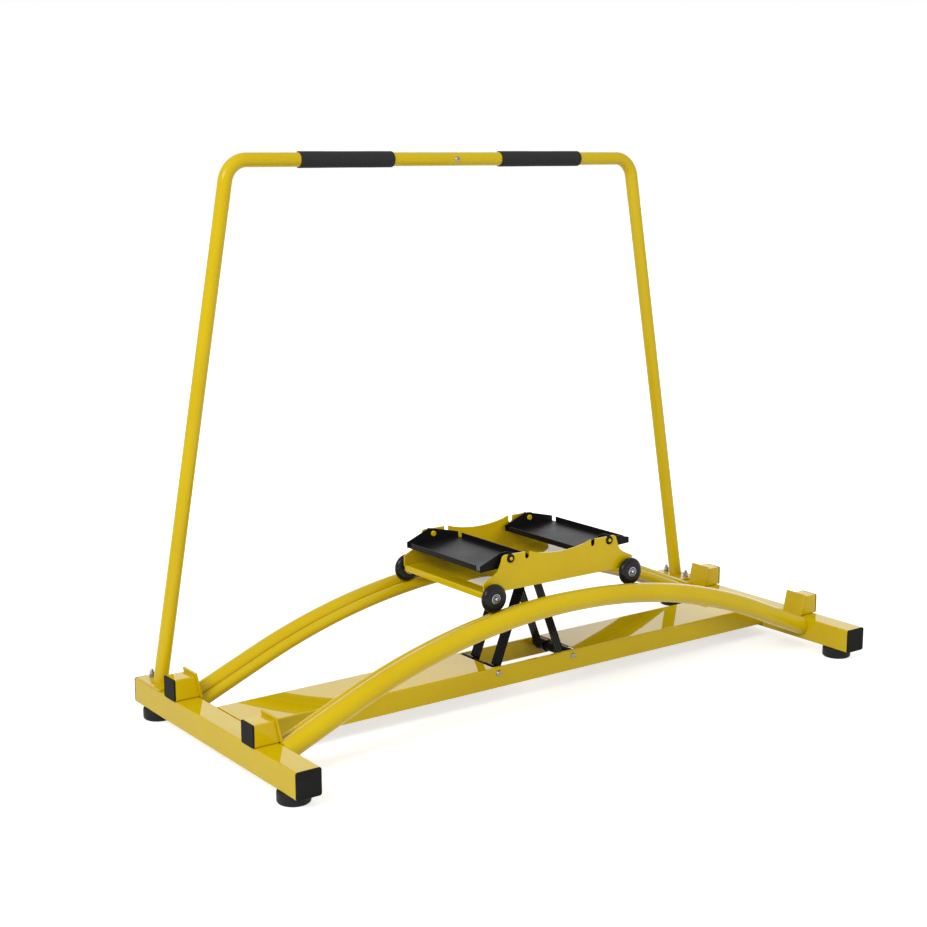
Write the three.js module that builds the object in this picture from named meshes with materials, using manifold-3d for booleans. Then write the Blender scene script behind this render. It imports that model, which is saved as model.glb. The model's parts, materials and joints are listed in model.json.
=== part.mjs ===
import * as THREE from 'three';
import Module from 'manifold-3d';
import { mergeVertices } from 'three/addons/utils/BufferGeometryUtils.js';

const wasm = await Module();
wasm.setup();

// Ski simulator. Millimetres. X runs along the track, Y towards the handrail, Z up.
// The origin is on the floor under the middle of the machine.

// Clear space between pieces that touch
const gap = 0.3;

// Crossbars, their caps and feet
const barSide = 63.5;
const barLength = 785.4;
const barWall = 3;
const barCorner = 5;
const barCentreX = 866.5;
const capThickness = 4;
const capEdge = 1;
const capPlugDepth = 12;
const footHeight = 27.5;
const footRadius = 38;
const footShoulder = 3.5;
const footBevel = 1.5;
const footInset = 65.7;
const studRadius = 5;
const studReach = 12;

// Track: outer tube and running tube on each side.
// The end height is where the outer tube meets the crossbars.
const trackRadius = 1670;
const trackEndHeight = 66.746;
const trackStraightRun = 184.75;
const railRadius = 25;
const railWall = 2;
const railInset = 170.7;
const runnerRadius = 14;
const runnerWall = 2;
const runnerDrop = 1.5;

// End stops on the crossbars
const stopWidth = 54;
const stopHeight = 53.5;
const stopWall = 2.5;
const stopCorner = 4;
const stopShift = 32;
const stopPlateWidth = 65;
const stopPlateLength = 64;
const stopPlateThickness = 5;
const stopFootInset = 36.5;
const stopLeanDegrees = 13;
const stopCapThickness = 4.4;

// Base channel, its cut-out, the band rollers and their bolts
const channelWidth = 160;
const channelDepth = 53;
const channelWall = 2.5;
const channelFold = 4;
const cutoutLength = 272;
const cutoutWidth = 142;
const rollerX = 123;
const rollerDrop = 15;
const rollerRadius = 12;
const rollerPlay = 1;
const boltRadius = 4;
const boltHeadRadius = 6.5;
const boltHeadHeight = 4.5;
const nutRadius = 7.5;
const nutHeight = 6;
const boltTail = 2;
const domeShare = 0.85;
const nutSides = 6;

// Elastic bands
const bandWidth = 36;
const bandThickness = 4;
const bandY = 44;
const bandEyeWall = 2.5;
const bandTopX = 13;
const anchorDepth = 26;

// Handrail, its base plates, bolts and grips
const handrailInset = 78.2;
const handrailRadius = 18;
const handrailWall = 2;
const handrailTop = 1350.9;
const handrailFootInset = 1.2;
const handrailLean = 223.7;
const handrailBend = 60;
const spigotLength = 74;
const spigotBite = 20;
const basePlateLength = 120;
const basePlateThickness = 5.5;
const basePlateCorner = 6;
const baseBoltSpacing = 85;
const washerRadius = 9;
const washerThickness = 1.5;
const baseNutHeight = 11;
const baseBoltTop = 20;
const gripRadius = 20.5;
const gripStart = 172;
const gripEnd = 448;
const gripEdge = 2;

// Carriage: deck, side plates with pivot and spare slots.
// Insets are from the ends of the deck and rises from its top.
const carriageHalfLength = 239;
const deckRise = 46.5;
const deckSheet = 3;
const deckLip = 15;
const sidePlateThickness = 4;
const sideEndRise = 25;
const shoulderInset = 30;
const shoulderRise = 39;
const neckInset = 43;
const neckRise = 48;
const hornFootInset = 50;
const hornFootRise = 63;
const hornInset = 55;
const hornRise = 86;
const hornRound = 9;
const pivotInset = 80;
const pivotRise = 76;
const slotHalfWidth = 7;
const spareSlotInset = 133;
const spareSlotRise = 74;
const saddleBase = 71;
const saddleSwell = 13.8;
const axleInset = 19;
const axleDrop = 12;
const earRadius = 15;

// Wheels and axle bolts
const wheelRadius = 36;
const wheelWidth = 22;
const wheelShift = 3.3;
const wheelClearance = 3;
const wheelFlat = 24;
const wheelShoulder = 31;
const wheelShoulderY = 8.5;
const wheelCrownY = 4.5;
const wheelCrown = 1.2;
const wheelRecess = 14;
const wheelRecessDepth = 3;
const hubRadius = 13;
const hubThickness = 2.4;
const axleHeadProud = 6;
const axleHeadRound = 1;
const axleTail = 4.2;

// Footplates, pivot bolts and bushings
const plateClearance = 11;
const plateWidth = 162;
const plateSheet = 2.5;
const plateFloorDrop = 22;
const plateEdgeDrop = 9.3;
const plateApexRise = 14;
const plateApexFrom = -15.4;
const plateApexTo = -2.4;
const plateNotch = 17;
const plateTiltDegrees = -2.45;
const pivotHeadRadius = 8.25;
const pivotHeadHeight = 5;
const pivotShankRadius = 4.5;
const pivotShankTail = 5;
const bushFlangeRadius = 10;
const bushFlangeThickness = 3;

// Number of flat sides on round pieces
const railSides = 20;
const runnerSides = 14;
const boreSides = 8;
const handrailSides = 18;
const roundSides = 24;
const smallSides = 12;
const trackSteps = 18;
const bendSteps = 6;
const cornerSteps = 2;
const saddleSteps = 6;
const hornSteps = 3;
const slotSteps = 6;
const earSteps = 4;

// Sizes that follow from the ones above
const barTop = footHeight + barSide;
const barInnerX = barCentreX - barSide / 2;
const barOuterX = barCentreX + barSide / 2;
const barCentreZ = footHeight + barSide / 2;
const footY = barLength / 2 - footInset;
const handrailY = barLength / 2 - handrailInset;
const railY = barLength / 2 - railInset;
const stopY = railY - stopShift;
const stopFootX = barCentreX - stopFootInset;
const stopLean = THREE.MathUtils.degToRad(stopLeanDegrees);
const handrailFootX = barCentreX - handrailFootInset;
const handrailCornerX = handrailFootX - handrailLean;
const trackHalfRun = barInnerX - trackStraightRun;
const trackAngle = Math.asin(trackHalfRun / trackRadius);
const trackArcDrop = trackRadius * (1 - Math.cos(trackAngle));
const trackEndDrop = trackStraightRun * Math.tan(trackAngle);
const trackCrest = trackEndHeight + trackEndDrop + trackArcDrop;
const trackCentreZ = trackCrest - trackRadius;
const runnerY = railY - railRadius - runnerRadius - gap;
const runnerTrackRadius = trackRadius - runnerDrop;
const channelTop = barTop;
const rollerZ = channelTop - rollerDrop;
const wheelY = runnerY + wheelShift;
const axleX = carriageHalfLength - axleInset;
const pivotX = carriageHalfLength - pivotInset;
const spareSlotX = carriageHalfLength - spareSlotInset;
const hornX = carriageHalfLength - hornInset;
const sidePlateOuterY = wheelY - wheelWidth / 2 - wheelClearance;
const sidePlateInnerY = sidePlateOuterY - sidePlateThickness;
const deckTop = trackCrest + deckRise;
const axleZ = deckTop - axleDrop;
const axleHeadReach = wheelY + wheelWidth / 2 + axleHeadProud;
const axleTailReach = sidePlateInnerY - gap - nutHeight - axleTail;
const deckUnder = deckTop - deckSheet;
const hornTop = deckTop + hornRise;
const pivotHeight = deckTop + pivotRise;
const spareSlotHeight = deckTop + spareSlotRise;
const saddleHeight = deckTop + saddleBase;
const flangeOuterY = sidePlateInnerY - plateClearance;
const flangeInnerY = flangeOuterY - plateSheet;
const pivotShankReach = sidePlateOuterY + pivotShankTail;

const paint = { color: 0xdcb426, roughness: 0.3, metalness: 0 };
const blackPaint = { color: 0x242424, roughness: 0.45, metalness: 0 };
const blackPlastic = { color: 0x1c1c1c, roughness: 0.6, metalness: 0 };
const rubber = { color: 0x191919, roughness: 0.85, metalness: 0 };
const foam = { color: 0x262626, roughness: 0.95, metalness: 0 };
const steel = { color: 0xbfc2c4, roughness: 0.25, metalness: 1 };

const group = new THREE.Group();

// Turns a three.js geometry into a closed body that faces outwards
function body(geometry) {
  const plain = geometry.clone();
  plain.deleteAttribute('normal');
  plain.deleteAttribute('uv');
  const welded = mergeVertices(plain);
  const points = welded.attributes.position.array;
  const corners = welded.index.array;
  const kept = [];
  for (let i = 0; i < corners.length; i += 3) {
    const [a, b, c] = [corners[i], corners[i + 1], corners[i + 2]];
    if (a !== b && b !== c && c !== a) {
      kept.push([a, b, c]);
    }
  }
  const at = (index) => new THREE.Vector3().fromArray(points, 3 * index);
  let volume = 0;
  for (const [a, b, c] of kept) {
    volume += at(a).dot(at(b).cross(at(c)));
  }
  const ordered = volume < 0 ? kept.map(([a, b, c]) => [a, c, b]) : kept;
  return new wasm.Manifold(new wasm.Mesh({
    numProp: 3,
    vertProperties: points,
    triVerts: new Uint32Array(ordered.flat()),
  }));
}

// Turns a closed body back into a three.js geometry
function surface(solid) {
  const mesh = solid.getMesh();
  const geometry = new THREE.BufferGeometry();
  geometry.setAttribute('position', new THREE.Float32BufferAttribute(mesh.vertProperties, 3));
  geometry.setIndex(new THREE.Uint32BufferAttribute(mesh.triVerts, 1));
  return geometry;
}

// Adds one named piece; every copy is its own mesh
function add(name, solid, finish) {
  const geometry = solid.isBufferGeometry ? solid : surface(solid);
  geometry.computeVertexNormals();
  const mesh = new THREE.Mesh(geometry, new THREE.MeshStandardMaterial(finish));
  mesh.name = name;
  group.add(mesh);
}

// Corners of a regular polygon, as used for round sections
function round(radius, sides) {
  return Array.from({ length: sides }, (_, i) => {
    const angle = (2 * Math.PI * (i + 0.5)) / sides;
    return new THREE.Vector2(radius * Math.cos(angle), radius * Math.sin(angle));
  });
}

// Radius of a polygon that clears a round piece of the given radius
function clearing(radius, sides) {
  return (radius + gap) / Math.cos(Math.PI / sides);
}

// Rectangle with rounded corners about the origin
function roundedRectangle(width, height, corner) {
  const points = [];
  for (let quarter = 0; quarter < 4; quarter += 1) {
    const right = quarter === 0 || quarter === 3 ? 1 : -1;
    const up = quarter < 2 ? 1 : -1;
    for (let i = 0; i <= cornerSteps; i += 1) {
      const angle = (Math.PI / 2) * (quarter + i / cornerSteps);
      points.push(new THREE.Vector2(
        right * (width / 2 - corner) + corner * Math.cos(angle),
        up * (height / 2 - corner) + corner * Math.sin(angle),
      ));
    }
  }
  return points;
}

function outline(points, holes = []) {
  const shape = new THREE.Shape(points);
  holes.forEach((hole) => shape.holes.push(new THREE.Path(hole)));
  return shape;
}

// Extrudes an XZ outline along Y between two faces
function alongY(shape, fromY, toY) {
  const geometry = new THREE.ExtrudeGeometry(shape, { depth: toY - fromY, bevelEnabled: false });
  return geometry.rotateX(Math.PI / 2).translate(0, toY, 0);
}

// Extrudes a YZ outline along X between two faces
function alongX(shape, fromX, toX) {
  const geometry = new THREE.ExtrudeGeometry(shape, { depth: toX - fromX, bevelEnabled: false });
  const turn = new THREE.Matrix4().makeBasis(
    new THREE.Vector3(0, 1, 0),
    new THREE.Vector3(0, 0, 1),
    new THREE.Vector3(1, 0, 0),
  );
  return geometry.applyMatrix4(turn).translate(fromX, 0, 0);
}

// Revolves [radius, height] pairs about the upright axis
function revolveZ(pairs, sides) {
  return revolveY(pairs, sides).rotateX(Math.PI / 2);
}

// Revolves [radius, place] pairs about an axis along Y
function revolveY(pairs, sides) {
  const points = pairs.map(([radius, place]) => new THREE.Vector2(radius, place));
  return new THREE.LatheGeometry(points, sides);
}

function box(fromX, toX, fromY, toY, fromZ, toZ) {
  const geometry = new THREE.BoxGeometry(toX - fromX, toY - fromY, toZ - fromZ);
  return geometry.translate((fromX + toX) / 2, (fromY + toY) / 2, (fromZ + toZ) / 2);
}

// A path through given stations, each with its place and its direction
class StationPath extends THREE.Curve {
  constructor(stations) {
    super();
    this.stations = stations;
  }

  station(share) {
    return this.stations[Math.round(share * (this.stations.length - 1))];
  }

  getPointAt(share, target = new THREE.Vector3()) {
    return target.copy(this.station(share).place);
  }

  getTangentAt(share, target = new THREE.Vector3()) {
    return target.copy(this.station(share).direction);
  }
}

function sweep(section, stations) {
  return new THREE.ExtrudeGeometry(section, {
    steps: stations.length - 1,
    extrudePath: new StationPath(stations),
    bevelEnabled: false,
  });
}

function tubeSection(radius, wall, sides) {
  return outline(round(radius, sides), [round(radius - wall, boreSides)]);
}

// Stations of a track tube: straight end, arc, straight end
function trackStations(radius, y) {
  const stations = [];
  for (let i = 0; i <= trackSteps; i += 1) {
    const angle = trackAngle * ((2 * i) / trackSteps - 1);
    stations.push({
      place: new THREE.Vector3(radius * Math.sin(angle), y, trackCentreZ + radius * Math.cos(angle)),
      direction: new THREE.Vector3(Math.cos(angle), 0, -Math.sin(angle)),
    });
  }
  const run = (barCentreX - radius * Math.sin(trackAngle)) / Math.cos(trackAngle);
  const first = stations[0];
  const last = stations[trackSteps];
  stations.unshift({
    place: first.place.clone().addScaledVector(first.direction, -run),
    direction: first.direction,
  });
  stations.push({
    place: last.place.clone().addScaledVector(last.direction, run),
    direction: last.direction,
  });
  return stations;
}

// Stations of a tube that turns one rounded corner
function cornerStations(from, corner, to, radius) {
  const into = corner.clone().sub(from).normalize();
  const away = to.clone().sub(corner).normalize();
  const turn = into.angleTo(away);
  const inward = away.clone().addScaledVector(into, -away.dot(into)).normalize();
  const start = corner.clone().addScaledVector(into, -radius * Math.tan(turn / 2));
  const centre = start.clone().addScaledVector(inward, radius);
  const stations = [{ place: from, direction: into }];
  for (let i = 0; i <= bendSteps; i += 1) {
    const angle = (turn * i) / bendSteps;
    stations.push({
      place: centre.clone()
        .addScaledVector(inward, -radius * Math.cos(angle))
        .addScaledVector(into, radius * Math.sin(angle)),
      direction: into.clone().multiplyScalar(Math.cos(angle)).addScaledVector(inward, Math.sin(angle)),
    });
  }
  stations.push({ place: to, direction: away });
  return stations;
}

function hexNut(radius, height) {
  return new THREE.CylinderGeometry(radius, radius, height, nutSides).rotateX(Math.PI / 2);
}

function uprightHole(radius, x, y, fromZ, toZ) {
  const hole = new THREE.CylinderGeometry(radius, radius, toZ - fromZ, smallSides);
  return body(hole.rotateX(Math.PI / 2).translate(x, y, (fromZ + toZ) / 2));
}

function crossHole(radius, x, z, fromY, toY) {
  const hole = new THREE.CylinderGeometry(radius, radius, toY - fromY, smallSides);
  return body(hole.translate(x, (fromY + toY) / 2, z));
}

// A closure plug for a tube end that faces along Y; side is the outward sign
function endCap(width, height, corner, wall, thickness) {
  const face = new THREE.ExtrudeGeometry(outline(roundedRectangle(width, height, corner)), {
    depth: thickness - 2 * capEdge,
    bevelThickness: capEdge,
    bevelSize: capEdge,
    bevelOffset: -capEdge,
    bevelSegments: 1,
  });
  const clear = 2 * (wall + gap);
  const plug = outline(roundedRectangle(width - clear, height - clear, corner - wall));
  const neck = new THREE.ExtrudeGeometry(plug, { depth: capPlugDepth + capEdge, bevelEnabled: false });
  return body(face.translate(0, 0, capEdge)).add(body(neck.translate(0, 0, -capPlugDepth)));
}

const sides = [['left', -1], ['right', 1]];
const rows = [['front', -1], ['back', 1]];

// Crossbars with their caps and feet
const barHalf = barLength / 2 - capThickness;
const basePlateBoltsY = [handrailY - baseBoltSpacing / 2, handrailY + baseBoltSpacing / 2];
for (const [side, sx] of sides) {
  const x = sx * barCentreX;
  const section = outline(
    roundedRectangle(barSide, barSide, barCorner),
    [roundedRectangle(barSide - 2 * barWall, barSide - 2 * barWall, barCorner - barWall)],
  );
  let bar = body(alongY(section, -barHalf + gap, barHalf - gap).translate(x, 0, barCentreZ));
  for (const y of basePlateBoltsY) {
    bar = bar.subtract(uprightHole(clearing(boltRadius, smallSides), x, y, barCentreZ, barTop + barWall));
  }
  for (const [, sy] of rows) {
    const hole = uprightHole(clearing(studRadius, smallSides), x, sy * footY, 0, barCentreZ);
    bar = bar.subtract(hole);
  }
  add(`crossbar_${side}`, bar, paint);
  for (const [row, sy] of rows) {
    const cap = surface(endCap(barSide, barSide, barCorner, barWall, capThickness));
    cap.rotateX((-sy * Math.PI) / 2).translate(x, sy * barHalf, barCentreZ);
    add(`crossbar_cap_${side}_${row}`, cap, blackPlastic);
    const foot = revolveZ([
      [0, 0],
      [footRadius - footShoulder, 0],
      [footRadius, footShoulder],
      [footRadius, footHeight - footShoulder],
      [footRadius - footBevel, footHeight - gap],
      [studRadius, footHeight - gap],
      [studRadius, footHeight + studReach],
      [0, footHeight + studReach],
    ], roundSides);
    add(`foot_${side}_${row}`, body(foot.translate(x, sy * footY, 0)), rubber);
  }
}

// Track tubes, cut square to the crossbars they meet
const between = body(box(-barInnerX + gap, barInnerX - gap, -barLength, barLength, 0, handrailTop));
for (const [row, sy] of rows) {
  const rail = sweep(tubeSection(railRadius, railWall, railSides), trackStations(trackRadius, sy * railY));
  add(`track_tube_${row}`, body(rail).intersect(between), paint);
  const section = tubeSection(runnerRadius, runnerWall, runnerSides);
  const runner = sweep(section, trackStations(runnerTrackRadius, sy * runnerY));
  add(`running_tube_${row}`, body(runner).intersect(between), paint);
}

// End stops: a square tube cut to a slanted plate that is notched over the track tube
const stopBase = barTop + gap;
for (const [side, sx] of sides) {
  for (const [row, sy] of rows) {
    const up = new THREE.Vector2(Math.sin(stopLean), Math.cos(stopLean));
    const out = new THREE.Vector2(Math.cos(stopLean), -Math.sin(stopLean));
    const foot = new THREE.Vector2(stopFootX, stopBase);
    const corner = (rise, depth) => {
      const point = foot.clone().addScaledVector(up, rise).addScaledVector(out, depth);
      return new THREE.Vector2(sx * point.x, point.y);
    };
    const plateOutline = outline([
      corner(0, 0),
      corner(stopPlateLength, 0),
      corner(stopPlateLength, stopPlateThickness),
      corner(0, stopPlateThickness),
    ]);
    const plateFrom = sy * stopY - stopPlateWidth / 2;
    const plate = body(alongY(plateOutline, plateFrom, plateFrom + stopPlateWidth));
    const reach = barSide;
    const aheadOutline = outline([
      corner(-reach, -reach),
      corner(2 * reach, -reach),
      corner(2 * reach, stopPlateThickness / 2),
      corner(-reach, stopPlateThickness / 2),
    ]);
    const ahead = body(alongY(aheadOutline, sy * stopY - reach, sy * stopY + reach));
    const tubeOutline = outline(
      roundedRectangle(stopWidth, stopHeight - gap, stopCorner),
      [roundedRectangle(stopWidth - 2 * stopWall, stopHeight - gap - 2 * stopWall, stopCorner - stopWall)],
    );
    const tubeEnds = [sx * stopFootX, sx * (barOuterX - gap)];
    const tube = alongX(tubeOutline, Math.min(...tubeEnds), Math.max(...tubeEnds))
      .translate(0, sy * stopY, stopBase + (stopHeight - gap) / 2);
    const nearEnd = body(box(
      Math.min(0, sx * barCentreX),
      Math.max(0, sx * barCentreX),
      -barLength,
      barLength,
      0,
      handrailTop,
    ));
    const room = (radius, roomSides, stations) => {
      const section = outline(round(clearing(radius, roomSides), roomSides));
      return body(sweep(section, stations)).intersect(nearEnd);
    };
    const railRoom = room(railRadius, railSides, trackStations(trackRadius, sy * railY));
    const runnerRoom = room(runnerRadius, runnerSides, trackStations(runnerTrackRadius, sy * runnerY));
    const stop = body(tube).subtract(ahead).add(plate).subtract(railRoom).subtract(runnerRoom);
    add(`stop_${side}_${row}`, stop, paint);
    const cap = surface(endCap(stopWidth, stopHeight - gap, stopCorner, stopWall, stopCapThickness));
    cap.rotateZ(Math.PI / 2).rotateY((sx * Math.PI) / 2);
    cap.translate(sx * barOuterX, sy * stopY, stopBase + (stopHeight - gap) / 2);
    add(`stop_cap_${side}_${row}`, cap, blackPlastic);
  }
}

// Base channel folded from one sheet, with a cut-out for the bands
const channelHalf = channelWidth / 2;
const foldPoints = (halfWidth, top, radius) => {
  const points = [];
  for (let i = 0; i <= 2 * cornerSteps + 1; i += 1) {
    const turned = i <= cornerSteps ? i : i - 1;
    const angle = (Math.PI / 2) * (turned / cornerSteps);
    const centre = i <= cornerSteps ? halfWidth - radius : radius - halfWidth;
    const rise = radius * (Math.sin(angle) - 1);
    points.push(new THREE.Vector2(centre + radius * Math.cos(angle), top + rise));
  }
  return points;
};
const channelBottom = channelTop - channelDepth;
const channelSection = outline([
  new THREE.Vector2(channelHalf, channelBottom),
  ...foldPoints(channelHalf, channelTop, channelFold),
  new THREE.Vector2(-channelHalf, channelBottom),
  new THREE.Vector2(channelWall - channelHalf, channelBottom),
  ...foldPoints(channelHalf - channelWall, channelTop - channelWall, channelFold - channelWall).reverse(),
  new THREE.Vector2(channelHalf - channelWall, channelBottom),
]);
let channel = body(alongX(channelSection, -barInnerX + gap, barInnerX - gap));
channel = channel.subtract(body(box(
  -cutoutLength / 2,
  cutoutLength / 2,
  -cutoutWidth / 2,
  cutoutWidth / 2,
  rollerZ,
  barTop + barSide,
)));
for (const [, sx] of sides) {
  const bore = clearing(boltRadius, smallSides);
  channel = channel.subtract(crossHole(bore, sx * rollerX, rollerZ, -channelWidth, channelWidth));
}
add('base_channel', channel, paint);

// Band rollers on bolts across the channel
const rollerHalf = channelHalf - channelWall - rollerPlay;
const shankEnd = channelHalf + gap;
for (const [side, sx] of sides) {
  const bore = clearing(boltRadius, smallSides);
  const roller = revolveY([
    [bore, -rollerHalf],
    [rollerRadius, -rollerHalf],
    [rollerRadius, rollerHalf],
    [bore, rollerHalf],
    [bore, -rollerHalf],
  ], smallSides);
  add(`band_roller_${side}`, body(roller.translate(sx * rollerX, 0, rollerZ)), blackPlastic);
  const bolt = revolveY([
    [0, -shankEnd - boltHeadHeight],
    [boltHeadRadius / 2, -shankEnd - domeShare * boltHeadHeight],
    [boltHeadRadius, -shankEnd],
    [boltRadius, -shankEnd],
    [boltRadius, shankEnd + nutHeight + boltTail],
    [0, shankEnd + nutHeight + boltTail],
  ], smallSides).translate(sx * rollerX, 0, rollerZ);
  const nut = new THREE.CylinderGeometry(nutRadius, nutRadius, nutHeight, nutSides)
    .translate(sx * rollerX, shankEnd + nutHeight / 2, rollerZ);
  add(`roller_bolt_${side}`, body(bolt).add(body(nut)), steel);
}

// Elastic bands: an eye round each roller and a flat strap up to the anchor
const eyeBore = rollerRadius + gap;
const strapCentreRadius = eyeBore + bandThickness / 2;
const bandTop = deckUnder - gap;
const topFromRoller = new THREE.Vector2(bandTopX - rollerX, bandTop - rollerZ);
const strapLength = Math.sqrt(topFromRoller.lengthSq() - strapCentreRadius ** 2);
const strapLean = Math.atan2(-topFromRoller.x, topFromRoller.y) - Math.atan2(strapCentreRadius, strapLength);
for (const [side, sx] of sides) {
  for (const [row, sy] of rows) {
    const fromY = sy * bandY - bandWidth / 2;
    const toY = fromY + bandWidth;
    const turnOut = new THREE.Vector2(-Math.cos(strapLean), -Math.sin(strapLean));
    const turnUp = new THREE.Vector2(-Math.sin(strapLean), Math.cos(strapLean));
    const corner = (outward, along) => {
      const point = turnOut.clone().multiplyScalar(outward).addScaledVector(turnUp, along);
      return new THREE.Vector2(sx * (rollerX + point.x), rollerZ + point.y);
    };
    const strap = outline([
      corner(eyeBore, 0),
      corner(eyeBore + bandThickness, 0),
      corner(eyeBore + bandThickness, strapLength + bandThickness),
      corner(eyeBore, strapLength + bandThickness),
    ]);
    const hole = round(clearing(rollerRadius, roundSides), roundSides);
    const eye = outline(round(eyeBore + bandEyeWall, roundSides), [hole]);
    const eyeBody = body(alongY(eye, fromY, toY).translate(sx * rollerX, 0, rollerZ));
    const bore = body(alongY(outline(hole), fromY - bandY, toY + bandY).translate(sx * rollerX, 0, rollerZ));
    const below = body(box(-barCentreX, barCentreX, -barLength, barLength, 0, bandTop));
    const band = body(alongY(strap, fromY, toY)).intersect(below).add(eyeBody).subtract(bore);
    add(`band_${side}_${row}`, band, rubber);
  }
}

// Carriage deck with end lips folded down and a wedge that the bands are fixed to
const deckHalfWidth = sidePlateInnerY - gap;
const deckOutline = outline([
  new THREE.Vector2(-carriageHalfLength, deckTop - deckLip),
  new THREE.Vector2(-carriageHalfLength, deckTop - deckSheet),
  new THREE.Vector2(-carriageHalfLength + deckSheet, deckTop),
  new THREE.Vector2(carriageHalfLength - deckSheet, deckTop),
  new THREE.Vector2(carriageHalfLength, deckTop - deckSheet),
  new THREE.Vector2(carriageHalfLength, deckTop - deckLip),
  new THREE.Vector2(carriageHalfLength - deckSheet, deckTop - deckLip),
  new THREE.Vector2(carriageHalfLength - deckSheet, deckUnder),
  new THREE.Vector2(-carriageHalfLength + deckSheet, deckUnder),
  new THREE.Vector2(-carriageHalfLength + deckSheet, deckTop - deckLip),
]);
const strapSlope = Math.tan(strapLean);
const strapInside = rollerX - (eyeBore + bandThickness + gap) / Math.cos(strapLean);
const wedgeHalf = (z) => strapInside - strapSlope * (z - rollerZ);
const wedge = outline([
  new THREE.Vector2(-wedgeHalf(deckUnder - anchorDepth), deckUnder - anchorDepth),
  new THREE.Vector2(wedgeHalf(deckUnder - anchorDepth), deckUnder - anchorDepth),
  new THREE.Vector2(wedgeHalf(deckTop), deckTop - deckSheet / 2),
  new THREE.Vector2(-wedgeHalf(deckTop), deckTop - deckSheet / 2),
]);
const wedgeHalfWidth = bandY + bandWidth / 2;
const deck = body(alongY(deckOutline, -deckHalfWidth, deckHalfWidth));
add('carriage_deck', deck.add(body(alongY(wedge, -wedgeHalfWidth, wedgeHalfWidth))), paint);

// Half of the side plate outline, from the middle of the bottom edge to the middle of the saddle
function sidePlateHalf() {
  const points = [new THREE.Vector2(axleX - earRadius, deckUnder)];
  for (let i = 0; i <= earSteps; i += 1) {
    const angle = Math.PI * (1 + i / earSteps);
    points.push(new THREE.Vector2(axleX + earRadius * Math.cos(angle), axleZ + earRadius * Math.sin(angle)));
  }
  points.push(new THREE.Vector2(axleX + earRadius, deckUnder));
  points.push(new THREE.Vector2(carriageHalfLength, deckUnder));
  points.push(new THREE.Vector2(carriageHalfLength, deckTop + sideEndRise));
  points.push(new THREE.Vector2(carriageHalfLength - shoulderInset, deckTop + shoulderRise));
  points.push(new THREE.Vector2(carriageHalfLength - neckInset, deckTop + neckRise));
  points.push(new THREE.Vector2(carriageHalfLength - hornFootInset, deckTop + hornFootRise));
  for (let i = 0; i <= hornSteps; i += 1) {
    const angle = (Math.PI / 2) * (i / hornSteps);
    points.push(new THREE.Vector2(
      hornX - hornRound + hornRound * Math.cos(angle),
      hornTop - hornRound + hornRound * Math.sin(angle),
    ));
  }
  points.push(...slotPoints(pivotX, pivotHeight));
  points.push(...slotPoints(spareSlotX, spareSlotHeight));
  const saddleEnd = spareSlotX - slotHalfWidth;
  for (let i = 1; i <= saddleSteps; i += 1) {
    const share = 1 - i / saddleSteps;
    points.push(new THREE.Vector2(saddleEnd * share, saddleHeight + saddleSwell * share ** 2));
  }
  return points;
}

// An open-topped slot with a round bottom, walked from its outer lip to its inner lip
function slotPoints(x, z) {
  const points = [new THREE.Vector2(x + slotHalfWidth, hornTop)];
  for (let i = 0; i <= slotSteps; i += 1) {
    const angle = (Math.PI * i) / slotSteps;
    points.push(new THREE.Vector2(x + slotHalfWidth * Math.cos(angle), z - slotHalfWidth * Math.sin(angle)));
  }
  points.push(new THREE.Vector2(x - slotHalfWidth, hornTop));
  return points;
}

const rightHalf = sidePlateHalf();
const leftHalf = rightHalf.slice(0, -1).reverse().map((point) => new THREE.Vector2(-point.x, point.y));
const sideOutline = outline([...rightHalf, ...leftHalf]);
for (const [row, sy] of rows) {
  const faces = [sy * sidePlateInnerY, sy * sidePlateOuterY];
  let plate = body(alongY(sideOutline, Math.min(...faces), Math.max(...faces)));
  for (const [, sx] of sides) {
    const bore = clearing(boltRadius, smallSides);
    plate = plate.subtract(crossHole(bore, sx * axleX, axleZ, -barLength, barLength));
  }
  add(`side_plate_${row}`, plate, paint);
}

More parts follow.
